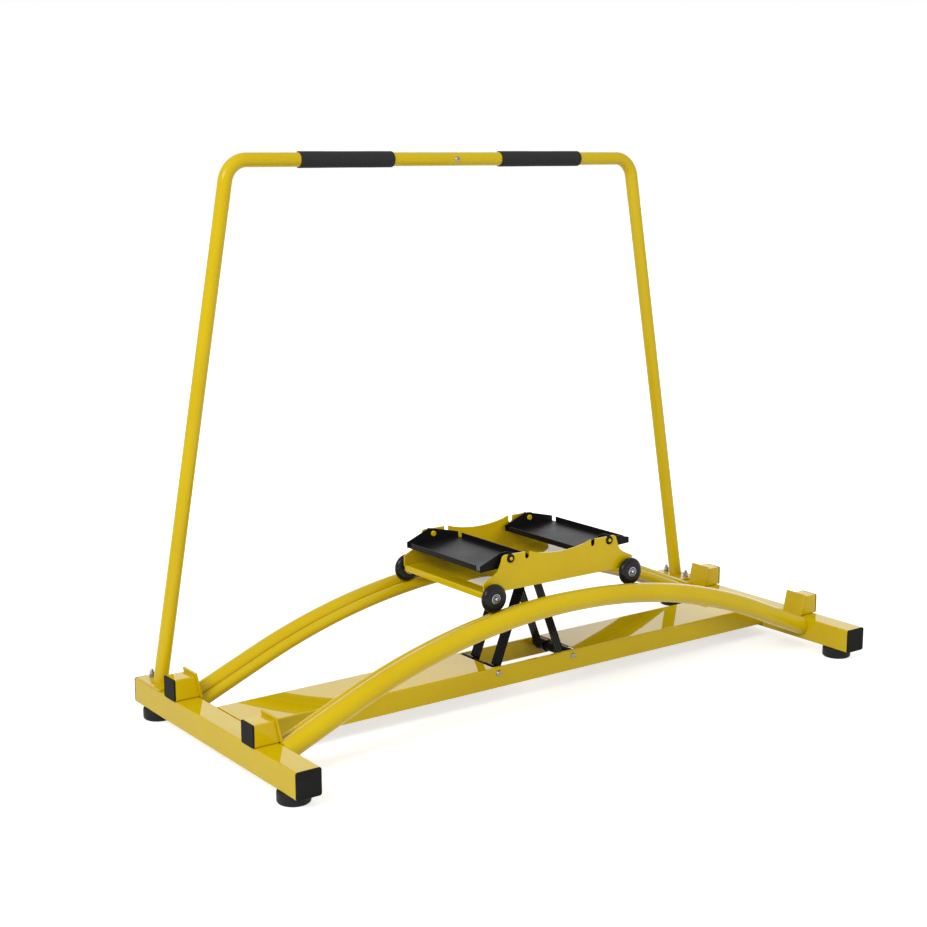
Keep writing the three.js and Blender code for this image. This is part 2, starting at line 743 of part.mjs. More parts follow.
// Wheels on the running tubes, with their axle bolts
const tread = wheelRadius - gap;
const wheelHalf = wheelWidth / 2;
const wheelInner = wheelY - wheelHalf;
for (const [side, sx] of sides) {
  for (const [row, sy] of rows) {
    const bore = clearing(boltRadius, smallSides);
    const wheel = revolveY([
      [bore, -wheelHalf],
      [wheelFlat, -wheelHalf],
      [wheelShoulder, -wheelShoulderY],
      [tread - wheelCrown, -wheelCrownY],
      [tread, 0],
      [tread - wheelCrown, wheelCrownY],
      [wheelShoulder, wheelShoulderY],
      [wheelFlat, wheelHalf],
      [wheelRecess, wheelHalf],
      [wheelRecess, wheelHalf - wheelRecessDepth],
      [bore, wheelHalf - wheelRecessDepth],
      [bore, -wheelHalf],
    ].map(([radius, place]) => [radius, sy * (wheelY + place)]), roundSides);
    add(`wheel_${side}_${row}`, body(wheel.translate(sx * axleX, 0, axleZ)), rubber);
    const hubInner = wheelY + wheelHalf - wheelRecessDepth + gap;
    const spacer = boltRadius + deckSheet;
    const bolt = revolveY([
      [0, axleTailReach],
      [boltRadius, axleTailReach],
      [boltRadius, sidePlateOuterY + gap],
      [spacer, sidePlateOuterY + gap],
      [spacer, wheelInner - gap],
      [boltRadius, wheelInner - gap],
      [boltRadius, hubInner],
      [hubRadius, hubInner],
      [hubRadius, hubInner + hubThickness],
      [boltHeadRadius, hubInner + hubThickness],
      [boltHeadRadius, axleHeadReach - axleHeadRound],
      [boltHeadRadius - axleHeadRound, axleHeadReach],
      [0, axleHeadReach],
    ].map(([radius, place]) => [radius, sy * place]), smallSides);
    const nut = new THREE.CylinderGeometry(nutRadius, nutRadius, nutHeight, nutSides)
      .translate(0, sy * (sidePlateInnerY - gap - nutHeight / 2), 0);
    const axle = body(bolt.translate(sx * axleX, 0, axleZ)).add(body(nut.translate(sx * axleX, 0, axleZ)));
    add(`axle_bolt_${side}_${row}`, axle, steel);
  }
}

// Footplates: a tray with low long lips, open corners and pointed end flanges
const plateHalf = plateWidth / 2;
const trayFloor = -plateFloorDrop;
const trayUnder = trayFloor - plateSheet;
const trayEdge = -plateEdgeDrop;
const trayOutline = outline([
  new THREE.Vector2(-plateHalf + plateSheet, trayUnder),
  new THREE.Vector2(plateHalf - plateSheet, trayUnder),
  new THREE.Vector2(plateHalf, trayFloor),
  new THREE.Vector2(plateHalf, trayEdge),
  new THREE.Vector2(plateHalf - plateSheet, trayEdge),
  new THREE.Vector2(plateHalf - plateSheet, trayFloor),
  new THREE.Vector2(-plateHalf + plateSheet, trayFloor),
  new THREE.Vector2(-plateHalf + plateSheet, trayEdge),
  new THREE.Vector2(-plateHalf, trayEdge),
  new THREE.Vector2(-plateHalf, trayFloor),
]);
const flangeOutline = outline([
  new THREE.Vector2(-plateHalf, trayUnder),
  new THREE.Vector2(plateHalf, trayUnder),
  new THREE.Vector2(plateHalf, trayEdge),
  new THREE.Vector2(plateApexTo, plateApexRise),
  new THREE.Vector2(plateApexFrom, plateApexRise),
  new THREE.Vector2(-plateHalf, trayEdge),
]);
const lipHalf = flangeInnerY - plateNotch;
for (const [side, sx] of sides) {
  let plate = body(alongY(trayOutline, -lipHalf, lipHalf));
  plate = plate.add(body(box(
    -plateHalf + plateSheet,
    plateHalf - plateSheet,
    -flangeOuterY,
    flangeOuterY,
    trayUnder,
    trayFloor,
  )));
  for (const [, sy] of rows) {
    const faces = [sy * flangeInnerY, sy * flangeOuterY];
    plate = plate.add(body(alongY(flangeOutline, Math.min(...faces), Math.max(...faces))));
  }
  const pivotBore = clearing(pivotShankRadius, smallSides);
  plate = plate.subtract(crossHole(pivotBore, 0, 0, -sidePlateInnerY, sidePlateInnerY));
  const tray = surface(plate).rotateY(THREE.MathUtils.degToRad(plateTiltDegrees));
  add(`footplate_${side}`, tray.translate(sx * pivotX, 0, pivotHeight), blackPaint);
  for (const [row, sy] of rows) {
    const bolt = revolveY([
      [0, flangeInnerY - gap - pivotHeadHeight],
      [pivotHeadRadius, flangeInnerY - gap - pivotHeadHeight],
      [pivotHeadRadius, flangeInnerY - gap],
      [pivotShankRadius, flangeInnerY - gap],
      [pivotShankRadius, pivotShankReach],
      [0, pivotShankReach],
    ].map(([radius, place]) => [radius, sy * place]), smallSides);
    add(`pivot_bolt_${side}_${row}`, body(bolt.translate(sx * pivotX, 0, pivotHeight)), paint);
    const bore = clearing(pivotShankRadius, smallSides);
    const bushing = revolveY([
      [bore, flangeOuterY + gap],
      [bushFlangeRadius, flangeOuterY + gap],
      [bushFlangeRadius, sidePlateInnerY - gap],
      [slotHalfWidth - gap, sidePlateInnerY - gap],
      [slotHalfWidth - gap, sidePlateOuterY + gap],
      [bushFlangeRadius, sidePlateOuterY + gap],
      [bushFlangeRadius, sidePlateOuterY + gap + bushFlangeThickness],
      [bore, sidePlateOuterY + gap + bushFlangeThickness],
      [bore, flangeOuterY + gap],
    ].map(([radius, place]) => [radius, sy * place]), smallSides);
    add(`pivot_bushing_${side}_${row}`, body(bushing.translate(sx * pivotX, 0, pivotHeight)), blackPlastic);
  }
}

// Handrail halves: base plate, leaning upright, bend and top bar with a spigot joint
const plateBottom = barTop + gap;
const plateTop = plateBottom + basePlateThickness;
for (const [side, sx] of sides) {
  const foot = new THREE.Vector3(sx * handrailFootX, handrailY, barTop);
  const corner = new THREE.Vector3(sx * handrailCornerX, handrailY, handrailTop);
  const middle = new THREE.Vector3((sx * gap) / 2, handrailY, handrailTop);
  const section = tubeSection(handrailRadius, handrailWall, handrailSides);
  const tube = body(sweep(section, cornerStations(foot, corner, middle, handrailBend)));
  const above = body(box(
    -barOuterX,
    barOuterX,
    0,
    barLength,
    plateTop - basePlateThickness / 2,
    2 * handrailTop,
  ));
  const plateOutline = outline(roundedRectangle(barSide, basePlateLength, basePlateCorner));
  const plate = new THREE.ExtrudeGeometry(plateOutline, { depth: basePlateThickness, bevelEnabled: false })
    .translate(sx * barCentreX, handrailY, plateBottom);
  let half = tube.intersect(above).add(body(plate));
  for (const y of basePlateBoltsY) {
    const bore = clearing(boltRadius, smallSides);
    half = half.subtract(uprightHole(bore, sx * barCentreX, y, barCentreZ, barTop + barSide));
    const bolt = revolveZ([
      [0, barTop - 2 * barWall],
      [boltRadius, barTop - 2 * barWall],
      [boltRadius, plateTop + gap],
      [washerRadius, plateTop + gap],
      [washerRadius, plateTop + gap + washerThickness],
      [boltRadius, plateTop + gap + washerThickness],
      [boltRadius, plateTop + baseBoltTop],
      [0, plateTop + baseBoltTop],
    ], smallSides).translate(sx * barCentreX, y, 0);
    const nutFrom = plateTop + gap + washerThickness;
    const nut = hexNut(nutRadius, baseNutHeight)
      .translate(sx * barCentreX, y, nutFrom + baseNutHeight / 2);
    const place = y < handrailY ? 'front' : 'back';
    add(`base_bolt_${side}_${place}`, body(bolt).add(body(nut)), steel);
  }
  if (sx < 0) {
    const boreRadius = handrailRadius - handrailWall;
    const fit = boreRadius * Math.cos(Math.PI / boreSides) - gap;
    const spigotBore = fit - handrailWall;
    const spigot = revolveY([
      [spigotBore, -spigotBite],
      [boreRadius + handrailWall / 2, -spigotBite],
      [boreRadius + handrailWall / 2, -gap],
      [fit, -gap],
      [fit, spigotLength],
      [spigotBore, spigotLength],
      [spigotBore, -spigotBite],
    ], roundSides).rotateZ(-Math.PI / 2).translate(0, handrailY, handrailTop);
    half = half.add(body(spigot));
  }
  add(`handrail_${side}`, half, paint);
  const bore = clearing(handrailRadius, roundSides);
  const grip = revolveY([
    [bore, gripStart],
    [gripRadius - gripEdge, gripStart],
    [gripRadius, gripStart + gripEdge],
    [gripRadius, gripEnd - gripEdge],
    [gripRadius - gripEdge, gripEnd],
    [bore, gripEnd],
    [bore, gripStart],
  ], roundSides).rotateZ((-sx * Math.PI) / 2).translate(0, handrailY, handrailTop);
  add(`grip_${side}`, body(grip), foam);
}

export default group;
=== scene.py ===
# %% [markdown]
# # Dressing a ski simulator
# This is a home ski trainer. A wheeled carriage with two rocking footplates rolls on an arched
# track, elastic bands pull it back, and a tall handrail stands behind it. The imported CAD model
# gives every piece its place and size. This notebook puts smooth skins, real finishes, a floor,
# soft light and a camera on top of it. Lengths are in metres, X runs along the track, Y towards
# the handrail and Z up.

# %% Load the frame
import json
import math

import bmesh
import bpy
from mathutils import Matrix, Vector

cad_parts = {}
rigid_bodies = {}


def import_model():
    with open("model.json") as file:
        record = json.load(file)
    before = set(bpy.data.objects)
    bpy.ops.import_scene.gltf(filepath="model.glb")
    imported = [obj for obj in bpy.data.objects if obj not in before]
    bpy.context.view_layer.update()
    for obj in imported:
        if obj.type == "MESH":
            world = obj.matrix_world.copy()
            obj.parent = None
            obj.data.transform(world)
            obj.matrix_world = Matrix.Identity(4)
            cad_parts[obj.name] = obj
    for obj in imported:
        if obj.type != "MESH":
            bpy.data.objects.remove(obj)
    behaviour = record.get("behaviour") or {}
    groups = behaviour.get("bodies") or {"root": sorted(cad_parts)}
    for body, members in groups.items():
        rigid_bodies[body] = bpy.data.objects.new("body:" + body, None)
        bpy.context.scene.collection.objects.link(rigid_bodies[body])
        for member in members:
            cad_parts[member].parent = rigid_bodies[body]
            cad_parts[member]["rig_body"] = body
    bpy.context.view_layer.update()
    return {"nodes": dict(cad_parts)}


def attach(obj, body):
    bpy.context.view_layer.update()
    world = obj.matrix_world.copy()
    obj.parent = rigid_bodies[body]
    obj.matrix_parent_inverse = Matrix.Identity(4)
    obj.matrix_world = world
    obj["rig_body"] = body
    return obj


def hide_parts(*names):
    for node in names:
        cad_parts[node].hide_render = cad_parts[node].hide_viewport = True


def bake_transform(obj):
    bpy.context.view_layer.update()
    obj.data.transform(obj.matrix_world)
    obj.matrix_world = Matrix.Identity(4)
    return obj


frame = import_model()
scene = bpy.context.scene

# %% [markdown]
# ## Camera
# The picture shows the machine from the front left, at the height of the handrail, through a
# long lens. A camera placed by trial is soon some degrees off. Here the straight edges of the
# base, which meet at right angles, gave the place, the turn and the lens all at once. The lens
# follows from its length in pixels and the width of the picture.

# %% Place the camera
IMAGE_SIDE = 927
FOCAL_PIXELS = 1622.0
SENSOR = 36.0
CAMERA_PLACE = (-2.5180, -3.1906, 1.3734)
CAMERA_DIP, CAMERA_TURN = 10.93, -36.3
camera_data = bpy.data.cameras.new("portrait camera")
camera_data.sensor_width = SENSOR
camera_data.lens = SENSOR * FOCAL_PIXELS / IMAGE_SIDE
camera_data.clip_end = 100.0
camera = bpy.data.objects.new("portrait camera", camera_data)
camera.location = CAMERA_PLACE
camera.rotation_euler = (math.radians(90.0 - CAMERA_DIP), 0.0, math.radians(CAMERA_TURN))
scene.collection.objects.link(camera)
scene.camera = camera
print("lens:", round(camera_data.lens, 2), "mm")

# %% [markdown]
# ## Who sees the white studio
# World, floor and finishes are node trees, so small helpers add and join nodes in one line.
# The last one is a test that world and floor share. The studio looks white and is mirrored
# white in the gloss paint, but that much light from all sides would bleach the paint. Light
# Path tells the rays apart: camera and reflections see white, the rest gets a plain light.

# %% Helpers for nodes and rays
def add_node(tree, kind, **settings):
    made = tree.nodes.new(kind)
    for key, value in settings.items():
        setattr(made, key, value)
    return made


def wire(source, out, target, into):
    source.id_data.links.new(source.outputs[out], target.inputs[into])


def map_range(tree, start, end, low, high, **settings):
    made = add_node(tree, "ShaderNodeMapRange", **settings)
    for label, value in (("From Min", start), ("From Max", end), ("To Min", low), ("To Max", high)):
        made.inputs[label].default_value = value
    return made


def ray_is_seen(tree):
    """1 for camera, glossy and transmission rays, 0 for all others."""
    path = add_node(tree, "ShaderNodeLightPath")
    seen = add_node(tree, "ShaderNodeMath", operation="MAXIMUM")
    mirrored = add_node(tree, "ShaderNodeMath", operation="MAXIMUM")
    wire(path, "Is Camera Ray", seen, 0)
    wire(path, "Is Glossy Ray", mirrored, 0)
    wire(path, "Is Transmission Ray", mirrored, 1)
    wire(mirrored, 0, seen, 1)
    return seen


print("rays that see the background: camera, glossy, transmission")

# %% [markdown]
# ## World
# A plain white world surrounds the machine like a light tent. A picture of a studio could light
# it too, but plain white needs no file. Of its two backgrounds a dimmer one lights the object,
# and one at strength 1, pure white, is for the rays that see it.

# %% Make the world
WHITE = (1.0, 1.0, 1.0, 1.0)
SKY_LIGHT, SKY_SHOWN = 0.55, 1.0
world = bpy.data.worlds.new("white studio")
world.use_nodes = True
scene.world = world
sky = world.node_tree
sky.nodes.clear()
choose = add_node(sky, "ShaderNodeMixShader")
sky_out = add_node(sky, "ShaderNodeOutputWorld")
for entry, strength in ((1, SKY_LIGHT), (2, SKY_SHOWN)):
    layer = add_node(sky, "ShaderNodeBackground")
    layer.inputs["Color"].default_value = WHITE
    layer.inputs["Strength"].default_value = strength
    wire(layer, 0, choose, entry)
wire(ray_is_seen(sky), 0, choose, 0)
wire(choose, 0, sky_out, 0)
print("world lights at", SKY_LIGHT, "and shows", SKY_SHOWN)

# %% [markdown]
# ## Lamps
# The left side of each tube is a little brighter than the right, and no shadow is hard. A sun
# would give hard shadows, so large area lamps stand round the machine: a round key on the left,
# a round fill in front, and a wide card behind that brightens the far edges. The fill is left
# out of reflections, where it would put a second white spot on the paint.

# %% Place the lamps
LAMP_TARGET, LAMP_SIZE = (0.0, 0.0, 0.4), 3.0
KEY_WATTS, KEY_PLACE = 215.0, (-5.0, -1.6, 4.0)
FILL_WATTS, FILL_PLACE = 100.0, (1.5, -6.0, 1.8)
CARD_WATTS, CARD_PLACE = 130.0, (4.3, 5.8, 2.4)
CARD_WIDTH, CARD_HEIGHT = 10.0, 4.2


def area_lamp(name, shape, size, watts, place):
    data = bpy.data.lights.new(name, "AREA")
    data.shape = shape
    data.size = size
    data.energy = watts
    lamp = bpy.data.objects.new(name, data)
    lamp.location = place
    scene.collection.objects.link(lamp)
    return lamp


def round_lamp(name, watts, place, in_reflections):
    lamp = area_lamp(name, "DISK", LAMP_SIZE, watts, place)
    aim = Vector(LAMP_TARGET) - Vector(place)
    lamp.rotation_euler = aim.to_track_quat("-Z", "Y").to_euler()
    lamp.visible_glossy = in_reflections


round_lamp("left key", KEY_WATTS, KEY_PLACE, True)
round_lamp("front fill", FILL_WATTS, FILL_PLACE, False)
card = area_lamp("back card", "RECTANGLE", CARD_WIDTH, CARD_WATTS, CARD_PLACE)
card.data.size_y = CARD_HEIGHT
card.rotation_euler = (math.radians(90.0), 0.0, math.radians(180.0 + CAMERA_TURN))
card.visible_camera = False

# %% [markdown]
# ## Floor
# The machine stands on a white floor that runs out to the horizon. A white plane alone comes
# out grey at this light level, and more light would bleach the paint. So the floor gets a glow
# that only the rays of the test above can see, and it still keeps the soft shadow of the feet.

# %% Lay the floor
FLOOR_HALF = 30.0
floor_mesh = bpy.data.meshes.new("studio floor")
floor_mesh.from_pydata([(x * FLOOR_HALF, y * FLOOR_HALF, 0.0)
                        for x, y in ((-1, -1), (1, -1), (1, 1), (-1, 1))], [], [(0, 1, 2, 3)])
floor = bpy.data.objects.new("studio floor", floor_mesh)
scene.collection.objects.link(floor)
print("floor side:", 2 * FLOOR_HALF)

# %% [markdown]
# ## The floor's glow
# The shader is a matt grey plus a glow. The glow grows with the distance from the machine, in a
# smooth step that shows no edge, because lamp light falls off there. A mix with a black glow
# switches it off for the rays that only carry light.

# %% Mix the floor's shader
FLOOR_GREY = 0.7
NEAR_GLOW, FAR_GLOW = 0.62, 1.0
GLOW_START, GLOW_END = 0.9, 2.6
floor_coat = bpy.data.materials.new("studio floor")
floor_coat.use_nodes = True
ground = floor_coat.node_tree
ground.nodes.clear()
matt = add_node(ground, "ShaderNodeBsdfDiffuse")
matt.inputs["Color"].default_value = (FLOOR_GREY, FLOOR_GREY, FLOOR_GREY, 1.0)
spot = add_node(ground, "ShaderNodeTexCoord")
away = add_node(ground, "ShaderNodeVectorMath", operation="LENGTH")
fade = map_range(ground, GLOW_START, GLOW_END, NEAR_GLOW, FAR_GLOW,
                 interpolation_type="SMOOTHSTEP")
glow = add_node(ground, "ShaderNodeEmission")
dark = add_node(ground, "ShaderNodeEmission")
dark.inputs["Strength"].default_value = 0.0
pick = add_node(ground, "ShaderNodeMixShader")
both = add_node(ground, "ShaderNodeAddShader")
ground_out = add_node(ground, "ShaderNodeOutputMaterial")
wire(spot, "Object", away, 0)
wire(away, "Value", fade, "Value")
wire(fade, "Result", glow, "Strength")
wire(ray_is_seen(ground), 0, pick, 0)
wire(dark, 0, pick, 1)
wire(glow, 0, pick, 2)
wire(matt, 0, both, 0)
wire(pick, 0, both, 1)
wire(both, 0, ground_out, 0)
floor_mesh.materials.append(floor_coat)
print("floor glow:", NEAR_GLOW, "near,", FAR_GLOW, "far")

# %% [markdown]
# ## Colours
# Colours are easiest to note as they look on a screen, from 0 to 255. Shaders work with linear
# light instead, so each value goes through the standard screen curve first.

# %% Screen colour to linear colour
def linear(value):
    share = value / 255.0
    return share / 12.92 if share <= 0.04045 else ((share + 0.055) / 1.055) ** 2.4


def tint(red, green, blue):
    return (linear(red), linear(green), linear(blue), 1.0)


print("screen grey 128 is linear", round(linear(128), 3))

# %% [markdown]
# ## One recipe for every finish
# Paint, rubber, foam and zinc look even from afar. Close up, their colour and gloss drift a
# little and they have a fine relief. A picture could be laid on the pieces, but noise in Object
# coordinates needs no file, has no seams and moves with the piece. A broad noise drives colour
# and roughness, and a fine one the bump. Values that are the same all over go straight on the
# shader.

# %% The finish recipe
CLOUD_LOW, CLOUD_HIGH = 0.3, 0.7
CLOUD_DETAIL, GRAIN_DETAIL = 4.0, 3.0


def finish(name, light, shade, drift, rough, grain, depth, mirror, **sockets):
    """Colour drifts from light to shade. Drift and grain are noise scales per metre, rough is
    the lowest and highest roughness, depth the relief and mirror the specular level."""
    made = bpy.data.materials.new(name)
    made.use_nodes = True
    tree = made.node_tree
    shader = tree.nodes["Principled BSDF"]
    shader.inputs["Specular IOR Level"].default_value = mirror
    for key, value in sockets.items():
        shader.inputs[key.capitalize()].default_value = value
    place = add_node(tree, "ShaderNodeTexCoord")
    cloud = add_node(tree, "ShaderNodeTexNoise")
    fine = add_node(tree, "ShaderNodeTexNoise")
    for noise, scale, detail in ((cloud, drift, CLOUD_DETAIL), (fine, grain, GRAIN_DETAIL)):
        noise.inputs["Scale"].default_value = scale
        noise.inputs["Detail"].default_value = detail
        wire(place, "Object", noise, "Vector")
    colour = add_node(tree, "ShaderNodeValToRGB")
    ends = colour.color_ramp.elements
    ends[0].position, ends[0].color = CLOUD_LOW, shade
    ends[1].position, ends[1].color = CLOUD_HIGH, light
    spread = map_range(tree, CLOUD_LOW, CLOUD_HIGH, *rough)
    bump = add_node(tree, "ShaderNodeBump")
    bump.inputs["Strength"].default_value = 1.0
    bump.inputs["Distance"].default_value = depth
    wire(cloud, "Fac", colour, "Fac")
    wire(cloud, "Fac", spread, "Value")
    wire(colour, "Color", shader, "Base Color")
    wire(spread, "Result", shader, "Roughness")
    wire(fine, "Fac", bump, "Height")
    wire(bump, "Normal", shader, "Normal")
    return made


print("noise is spread from", CLOUD_LOW, "to", CLOUD_HIGH)

# %% [markdown]
# ## Coated steel
# The steel is powder coated: a gloss yellow on the frame, a satin black on the footplates. Such
# a coat melts into a skin with a very faint orange peel, so the yellow's grain is wide and
# shallow. Its specular level is low, because the white studio is mirrored on every side and
# would pale the colour.

# %% Mix the coats
yellow_coat = finish("yellow gloss coat", tint(206, 178, 6), tint(201, 171, 4), drift=6.0,
                     rough=(0.012, 0.03), grain=260.0, depth=0.000004, mirror=0.16)
black_coat = finish("black satin coat", tint(22, 22, 23), tint(17, 17, 18), drift=9.0,
                    rough=(0.36, 0.46), grain=1400.0, depth=0.00003, mirror=0.07)
print("coats:", yellow_coat.name, "and", black_coat.name)

# %% [markdown]
# ## Plastic, rubber, foam and zinc
# Moulded caps have a fine matt grain. Feet are dull rubber, wheel treads are smoother, and the
# bands nearly black with a soft shine. Foam has the deepest relief, for its pores. Bolts are
# zinc plated, with small grey clouds. The recipe stays, and only its numbers change.

# %% Mix the other finishes
black_plastic = finish("black moulded plastic", tint(38, 38, 37), tint(31, 31, 30), drift=14.0,
                       rough=(0.34, 0.46), grain=1800.0, depth=0.00002, mirror=0.02)
foot_rubber = finish("foot rubber", tint(36, 36, 37), tint(26, 26, 27), drift=20.0,
                     rough=(0.5, 0.65), grain=1200.0, depth=0.00005, mirror=0.16)
wheel_rubber = finish("wheel tread", tint(26, 26, 28), tint(18, 18, 20), drift=30.0,
                      rough=(0.16, 0.26), grain=900.0, depth=0.00001, mirror=0.2)
band_rubber = finish("band rubber", tint(15, 15, 17), tint(9, 9, 11), drift=24.0,
                     rough=(0.2, 0.32), grain=1100.0, depth=0.00002, mirror=0.06)
grip_foam = finish("grip foam", tint(48, 48, 48), tint(43, 43, 43), drift=40.0,
                   rough=(0.75, 0.9), grain=700.0, depth=0.0001, mirror=0.14)
bright_steel = finish("bright zinc steel", tint(172, 174, 178), tint(136, 138, 142), drift=60.0,
                      rough=(0.14, 0.28), grain=2600.0, depth=0.00001, mirror=0.5, metallic=1.0)
print("finishes:", len(bpy.data.materials))

# %% [markdown]
# ## Handing pieces over
# A finished piece stands for one or more CAD nodes and rides on their body. A small part with no
# node of its own is told its body instead. Most names end in a side and a row, so these are listed
# once.

# %% Hand a piece to the frame
SIDES = (("left", -1), ("right", 1))
ROWS = (("front", -1), ("back", 1))
CORNERS = [(f"{side}_{row}", sx, sy) for side, sx in SIDES for row, sy in ROWS]


def four(stem):
    return [f"{stem}_{corner}" for corner, _, _ in CORNERS]


def hand_in(piece, slot, *nodes, body=None):
    """The piece stands for these CAD nodes and moves with their body."""
    if nodes:
        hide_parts(*nodes)
    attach(piece, body or frame["nodes"][nodes[0]]["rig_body"])
    return piece


print("corner names:", four("foot"))

# %% [markdown]
# ## From loose mesh to object
# Meshes are built in bmesh, which is quick to edit, and then become objects. Faces are shaded
# smooth and edges sharper than 35 degrees stay crisp, so a tube looks round while its cut end
# stays flat. Stacked rings close into a solid, and a welded part joins a piece as a loose mesh.

# %% Make, smooth and join meshes
SMOOTH_BELOW = math.radians(35.0)


def to_object(name, bm, material):
    mesh = bpy.data.meshes.new(name)
    bm.to_mesh(mesh)
    bm.free()
    mesh.materials.append(material)
    piece = bpy.data.objects.new(name, mesh)
    scene.collection.objects.link(piece)
    return piece


def smooth(piece):
    for face in piece.data.polygons:
        face.use_smooth = True
    piece.data.set_sharp_from_angle(angle=SMOOTH_BELOW)
    return piece


def close_rings(bm, rings):
    """Skins a stack of equal rings and closes both ends."""
    count = len(rings[0])
    for low, high in zip(rings, rings[1:]):
        for k in range(count):
            n = (k + 1) % count
            bm.faces.new((low[k], low[n], high[n], high[k]))
    bm.faces.new(list(reversed(rings[0])))
    bm.faces.new(rings[-1])
    bmesh.ops.recalc_face_normals(bm, faces=bm.faces)
    return bm


def merge_into(piece, bm):
    """Adds a loose mesh to a piece."""
    extra = bpy.data.meshes.new("extra")
    bm.to_mesh(extra)
    bm.free()
    whole = bmesh.new()
    whole.from_mesh(piece.data)
    whole.from_mesh(extra)
    whole.to_mesh(piece.data)
    whole.free()
    bpy.data.meshes.remove(extra)


print("edges stay crisp above", round(math.degrees(SMOOTH_BELOW)), "degrees")

# %% [markdown]
# ## Folded and cut sheet
# Square tube, caps and folded sheet have their true shape in the CAD model. Only its knife-sharp
# edges look false, because real ones catch a thin line of light. The CAD mesh is copied and its
# loose triangles are merged into flat faces. Then Bevel rounds the edges, which by hand would
# be slow, and Weighted Normal keeps the faces flat.

# %% Round the edges of a sheet part
MERGE_GAP = 1e-5
FLAT_WITHIN = math.radians(0.5)
BEVEL_ABOVE = 38.0


def pressed(node, ending, material, slot, width, degrees=BEVEL_ABOVE):
    bm = bmesh.new()
    bm.from_mesh(frame["nodes"][node].data)
    bmesh.ops.remove_doubles(bm, verts=bm.verts, dist=MERGE_GAP)
    bmesh.ops.dissolve_limit(bm, angle_limit=FLAT_WITHIN, verts=bm.verts, edges=bm.edges)
    piece = to_object(f"{node}_{ending}", bm, material)
    for face in piece.data.polygons:
        face.use_smooth = True
    edge = piece.modifiers.new("rounded edges", "BEVEL")
    edge.width = width
    edge.segments = 2
    edge.limit_method = "ANGLE"
    edge.angle_limit = math.radians(degrees)
    flat = piece.modifiers.new("flat faces", "WEIGHTED_NORMAL")
    flat.mode = "FACE_AREA"
    flat.weight = 100
    return hand_in(piece, slot, node)


print("edges are rounded above", BEVEL_ABOVE, "degrees")

# %% [markdown]
# ## Turned parts
# Feet, wheels, rollers, grips and bolts are round, as if turned on a lathe. A profile of radius
# and place pairs is revolved about Z and laid along the axis of the part. The Screw modifier
# can do this too, but in code a point on the axis becomes one closed pole, and a hollow part
# closes on its own first ring.

# %% Turn a round part
TURN = {"X": Matrix.Rotation(math.pi / 2, 4, "Y"), "Y": Matrix.Rotation(-math.pi / 2, 4, "X"),
        "Z": Matrix.Identity(4)}
POLE = 1e-7


def turned_mesh(profile, steps, closed=False):
    bm = bmesh.new()
    rings = []
    for radius, place in profile:
        count = 1 if radius < POLE else steps
        rings.append([bm.verts.new((radius * math.cos(2 * math.pi * k / steps),
                                    radius * math.sin(2 * math.pi * k / steps), place))
                      for k in range(count)])
    pairs = list(zip(rings, rings[1:]))
    if closed:
        pairs.append((rings[-1], rings[0]))
    for low, high in pairs:
        for k in range(steps):
            n = (k + 1) % steps
            loop = [low[k % len(low)], low[n % len(low)], high[n % len(high)], high[k % len(high)]]
            kept = [v for i, v in enumerate(loop) if v not in loop[:i]]
            if len(kept) > 2:
                bm.faces.new(kept)
    bmesh.ops.recalc_face_normals(bm, faces=bm.faces)
    return bm


def turned(name, profile, centre, axis, material, steps, closed=False, facing=1):
    """A facing of -1 mirrors the profile along its axis."""
    bm = turned_mesh([(radius, facing * place) for radius, place in profile], steps, closed)
    bm.transform(Matrix.Translation(centre) @ TURN[axis])
    return smooth(to_object(name, bm, material))


print("turning axes:", sorted(TURN))

# %% [markdown]
# ## Geometry Nodes trees
# Tubes, fasteners and bands follow simple rules, so three small trees make them. All start and
# end alike: sizes are named inputs, and each tree ends in Realize Instances and Set Material,
# because instances would be lost when the model is exported.

# %% Start and close a tree
def new_tree(name, sockets):
    tree = bpy.data.node_groups.new(name, "GeometryNodeTree")
    tree.interface.new_socket(name="Geometry", in_out="INPUT", socket_type="NodeSocketGeometry")
    for label, kind in sockets:
        tree.interface.new_socket(name=label, in_out="INPUT", socket_type="NodeSocket" + kind)
    tree.interface.new_socket(name="Geometry", in_out="OUTPUT", socket_type="NodeSocketGeometry")
    return tree, add_node(tree, "NodeGroupInput"), add_node(tree, "NodeGroupOutput")


def close_tree(tree, source, given, out):
    real = add_node(tree, "GeometryNodeRealizeInstances")
    paint = add_node(tree, "GeometryNodeSetMaterial")
    wire(source, 0, real, "Geometry")
    wire(real, "Geometry", paint, "Geometry")
    wire(given, "Material", paint, "Material")
    wire(paint, "Geometry", out, "Geometry")
    print(tree.name, "has", len(tree.nodes), "nodes")


print("node groups so far:", len(bpy.data.node_groups))

# %% [markdown]
# ## From tree to plain mesh
# A tree works as a modifier on a source object. Its inputs are set by each socket's identifier
# before the object is first evaluated. The result is copied into a plain mesh and the source
# is removed, so the finished piece carries no live tree.

# %% Grow a piece from a tree
def grown(name, source, tree, values):
    modifier = source.modifiers.new("grow", "NODES")
    modifier.node_group = tree
    for item in tree.interface.items_tree:
        if item.in_out == "INPUT" and item.name in values:
            modifier[item.identifier] = values[item.name]
    graph = bpy.context.evaluated_depsgraph_get()
    mesh = bpy.data.meshes.new_from_object(source.evaluated_get(graph), depsgraph=graph)
    mesh.name = name
    mesh.materials.clear()
    mesh.materials.append(values["Material"])
    for face in mesh.polygons:
        face.material_index = 0
    bpy.data.objects.remove(source)
    piece = bpy.data.objects.new(name, mesh)
    scene.collection.objects.link(piece)
    return piece


def path_object(points):
    mesh = bpy.data.meshes.new("path")
    mesh.from_pydata([tuple(p) for p in points], [(i, i + 1) for i in range(len(points) - 1)], [])
    source = bpy.data.objects.new("path", mesh)
    scene.collection.objects.link(source)
    return source


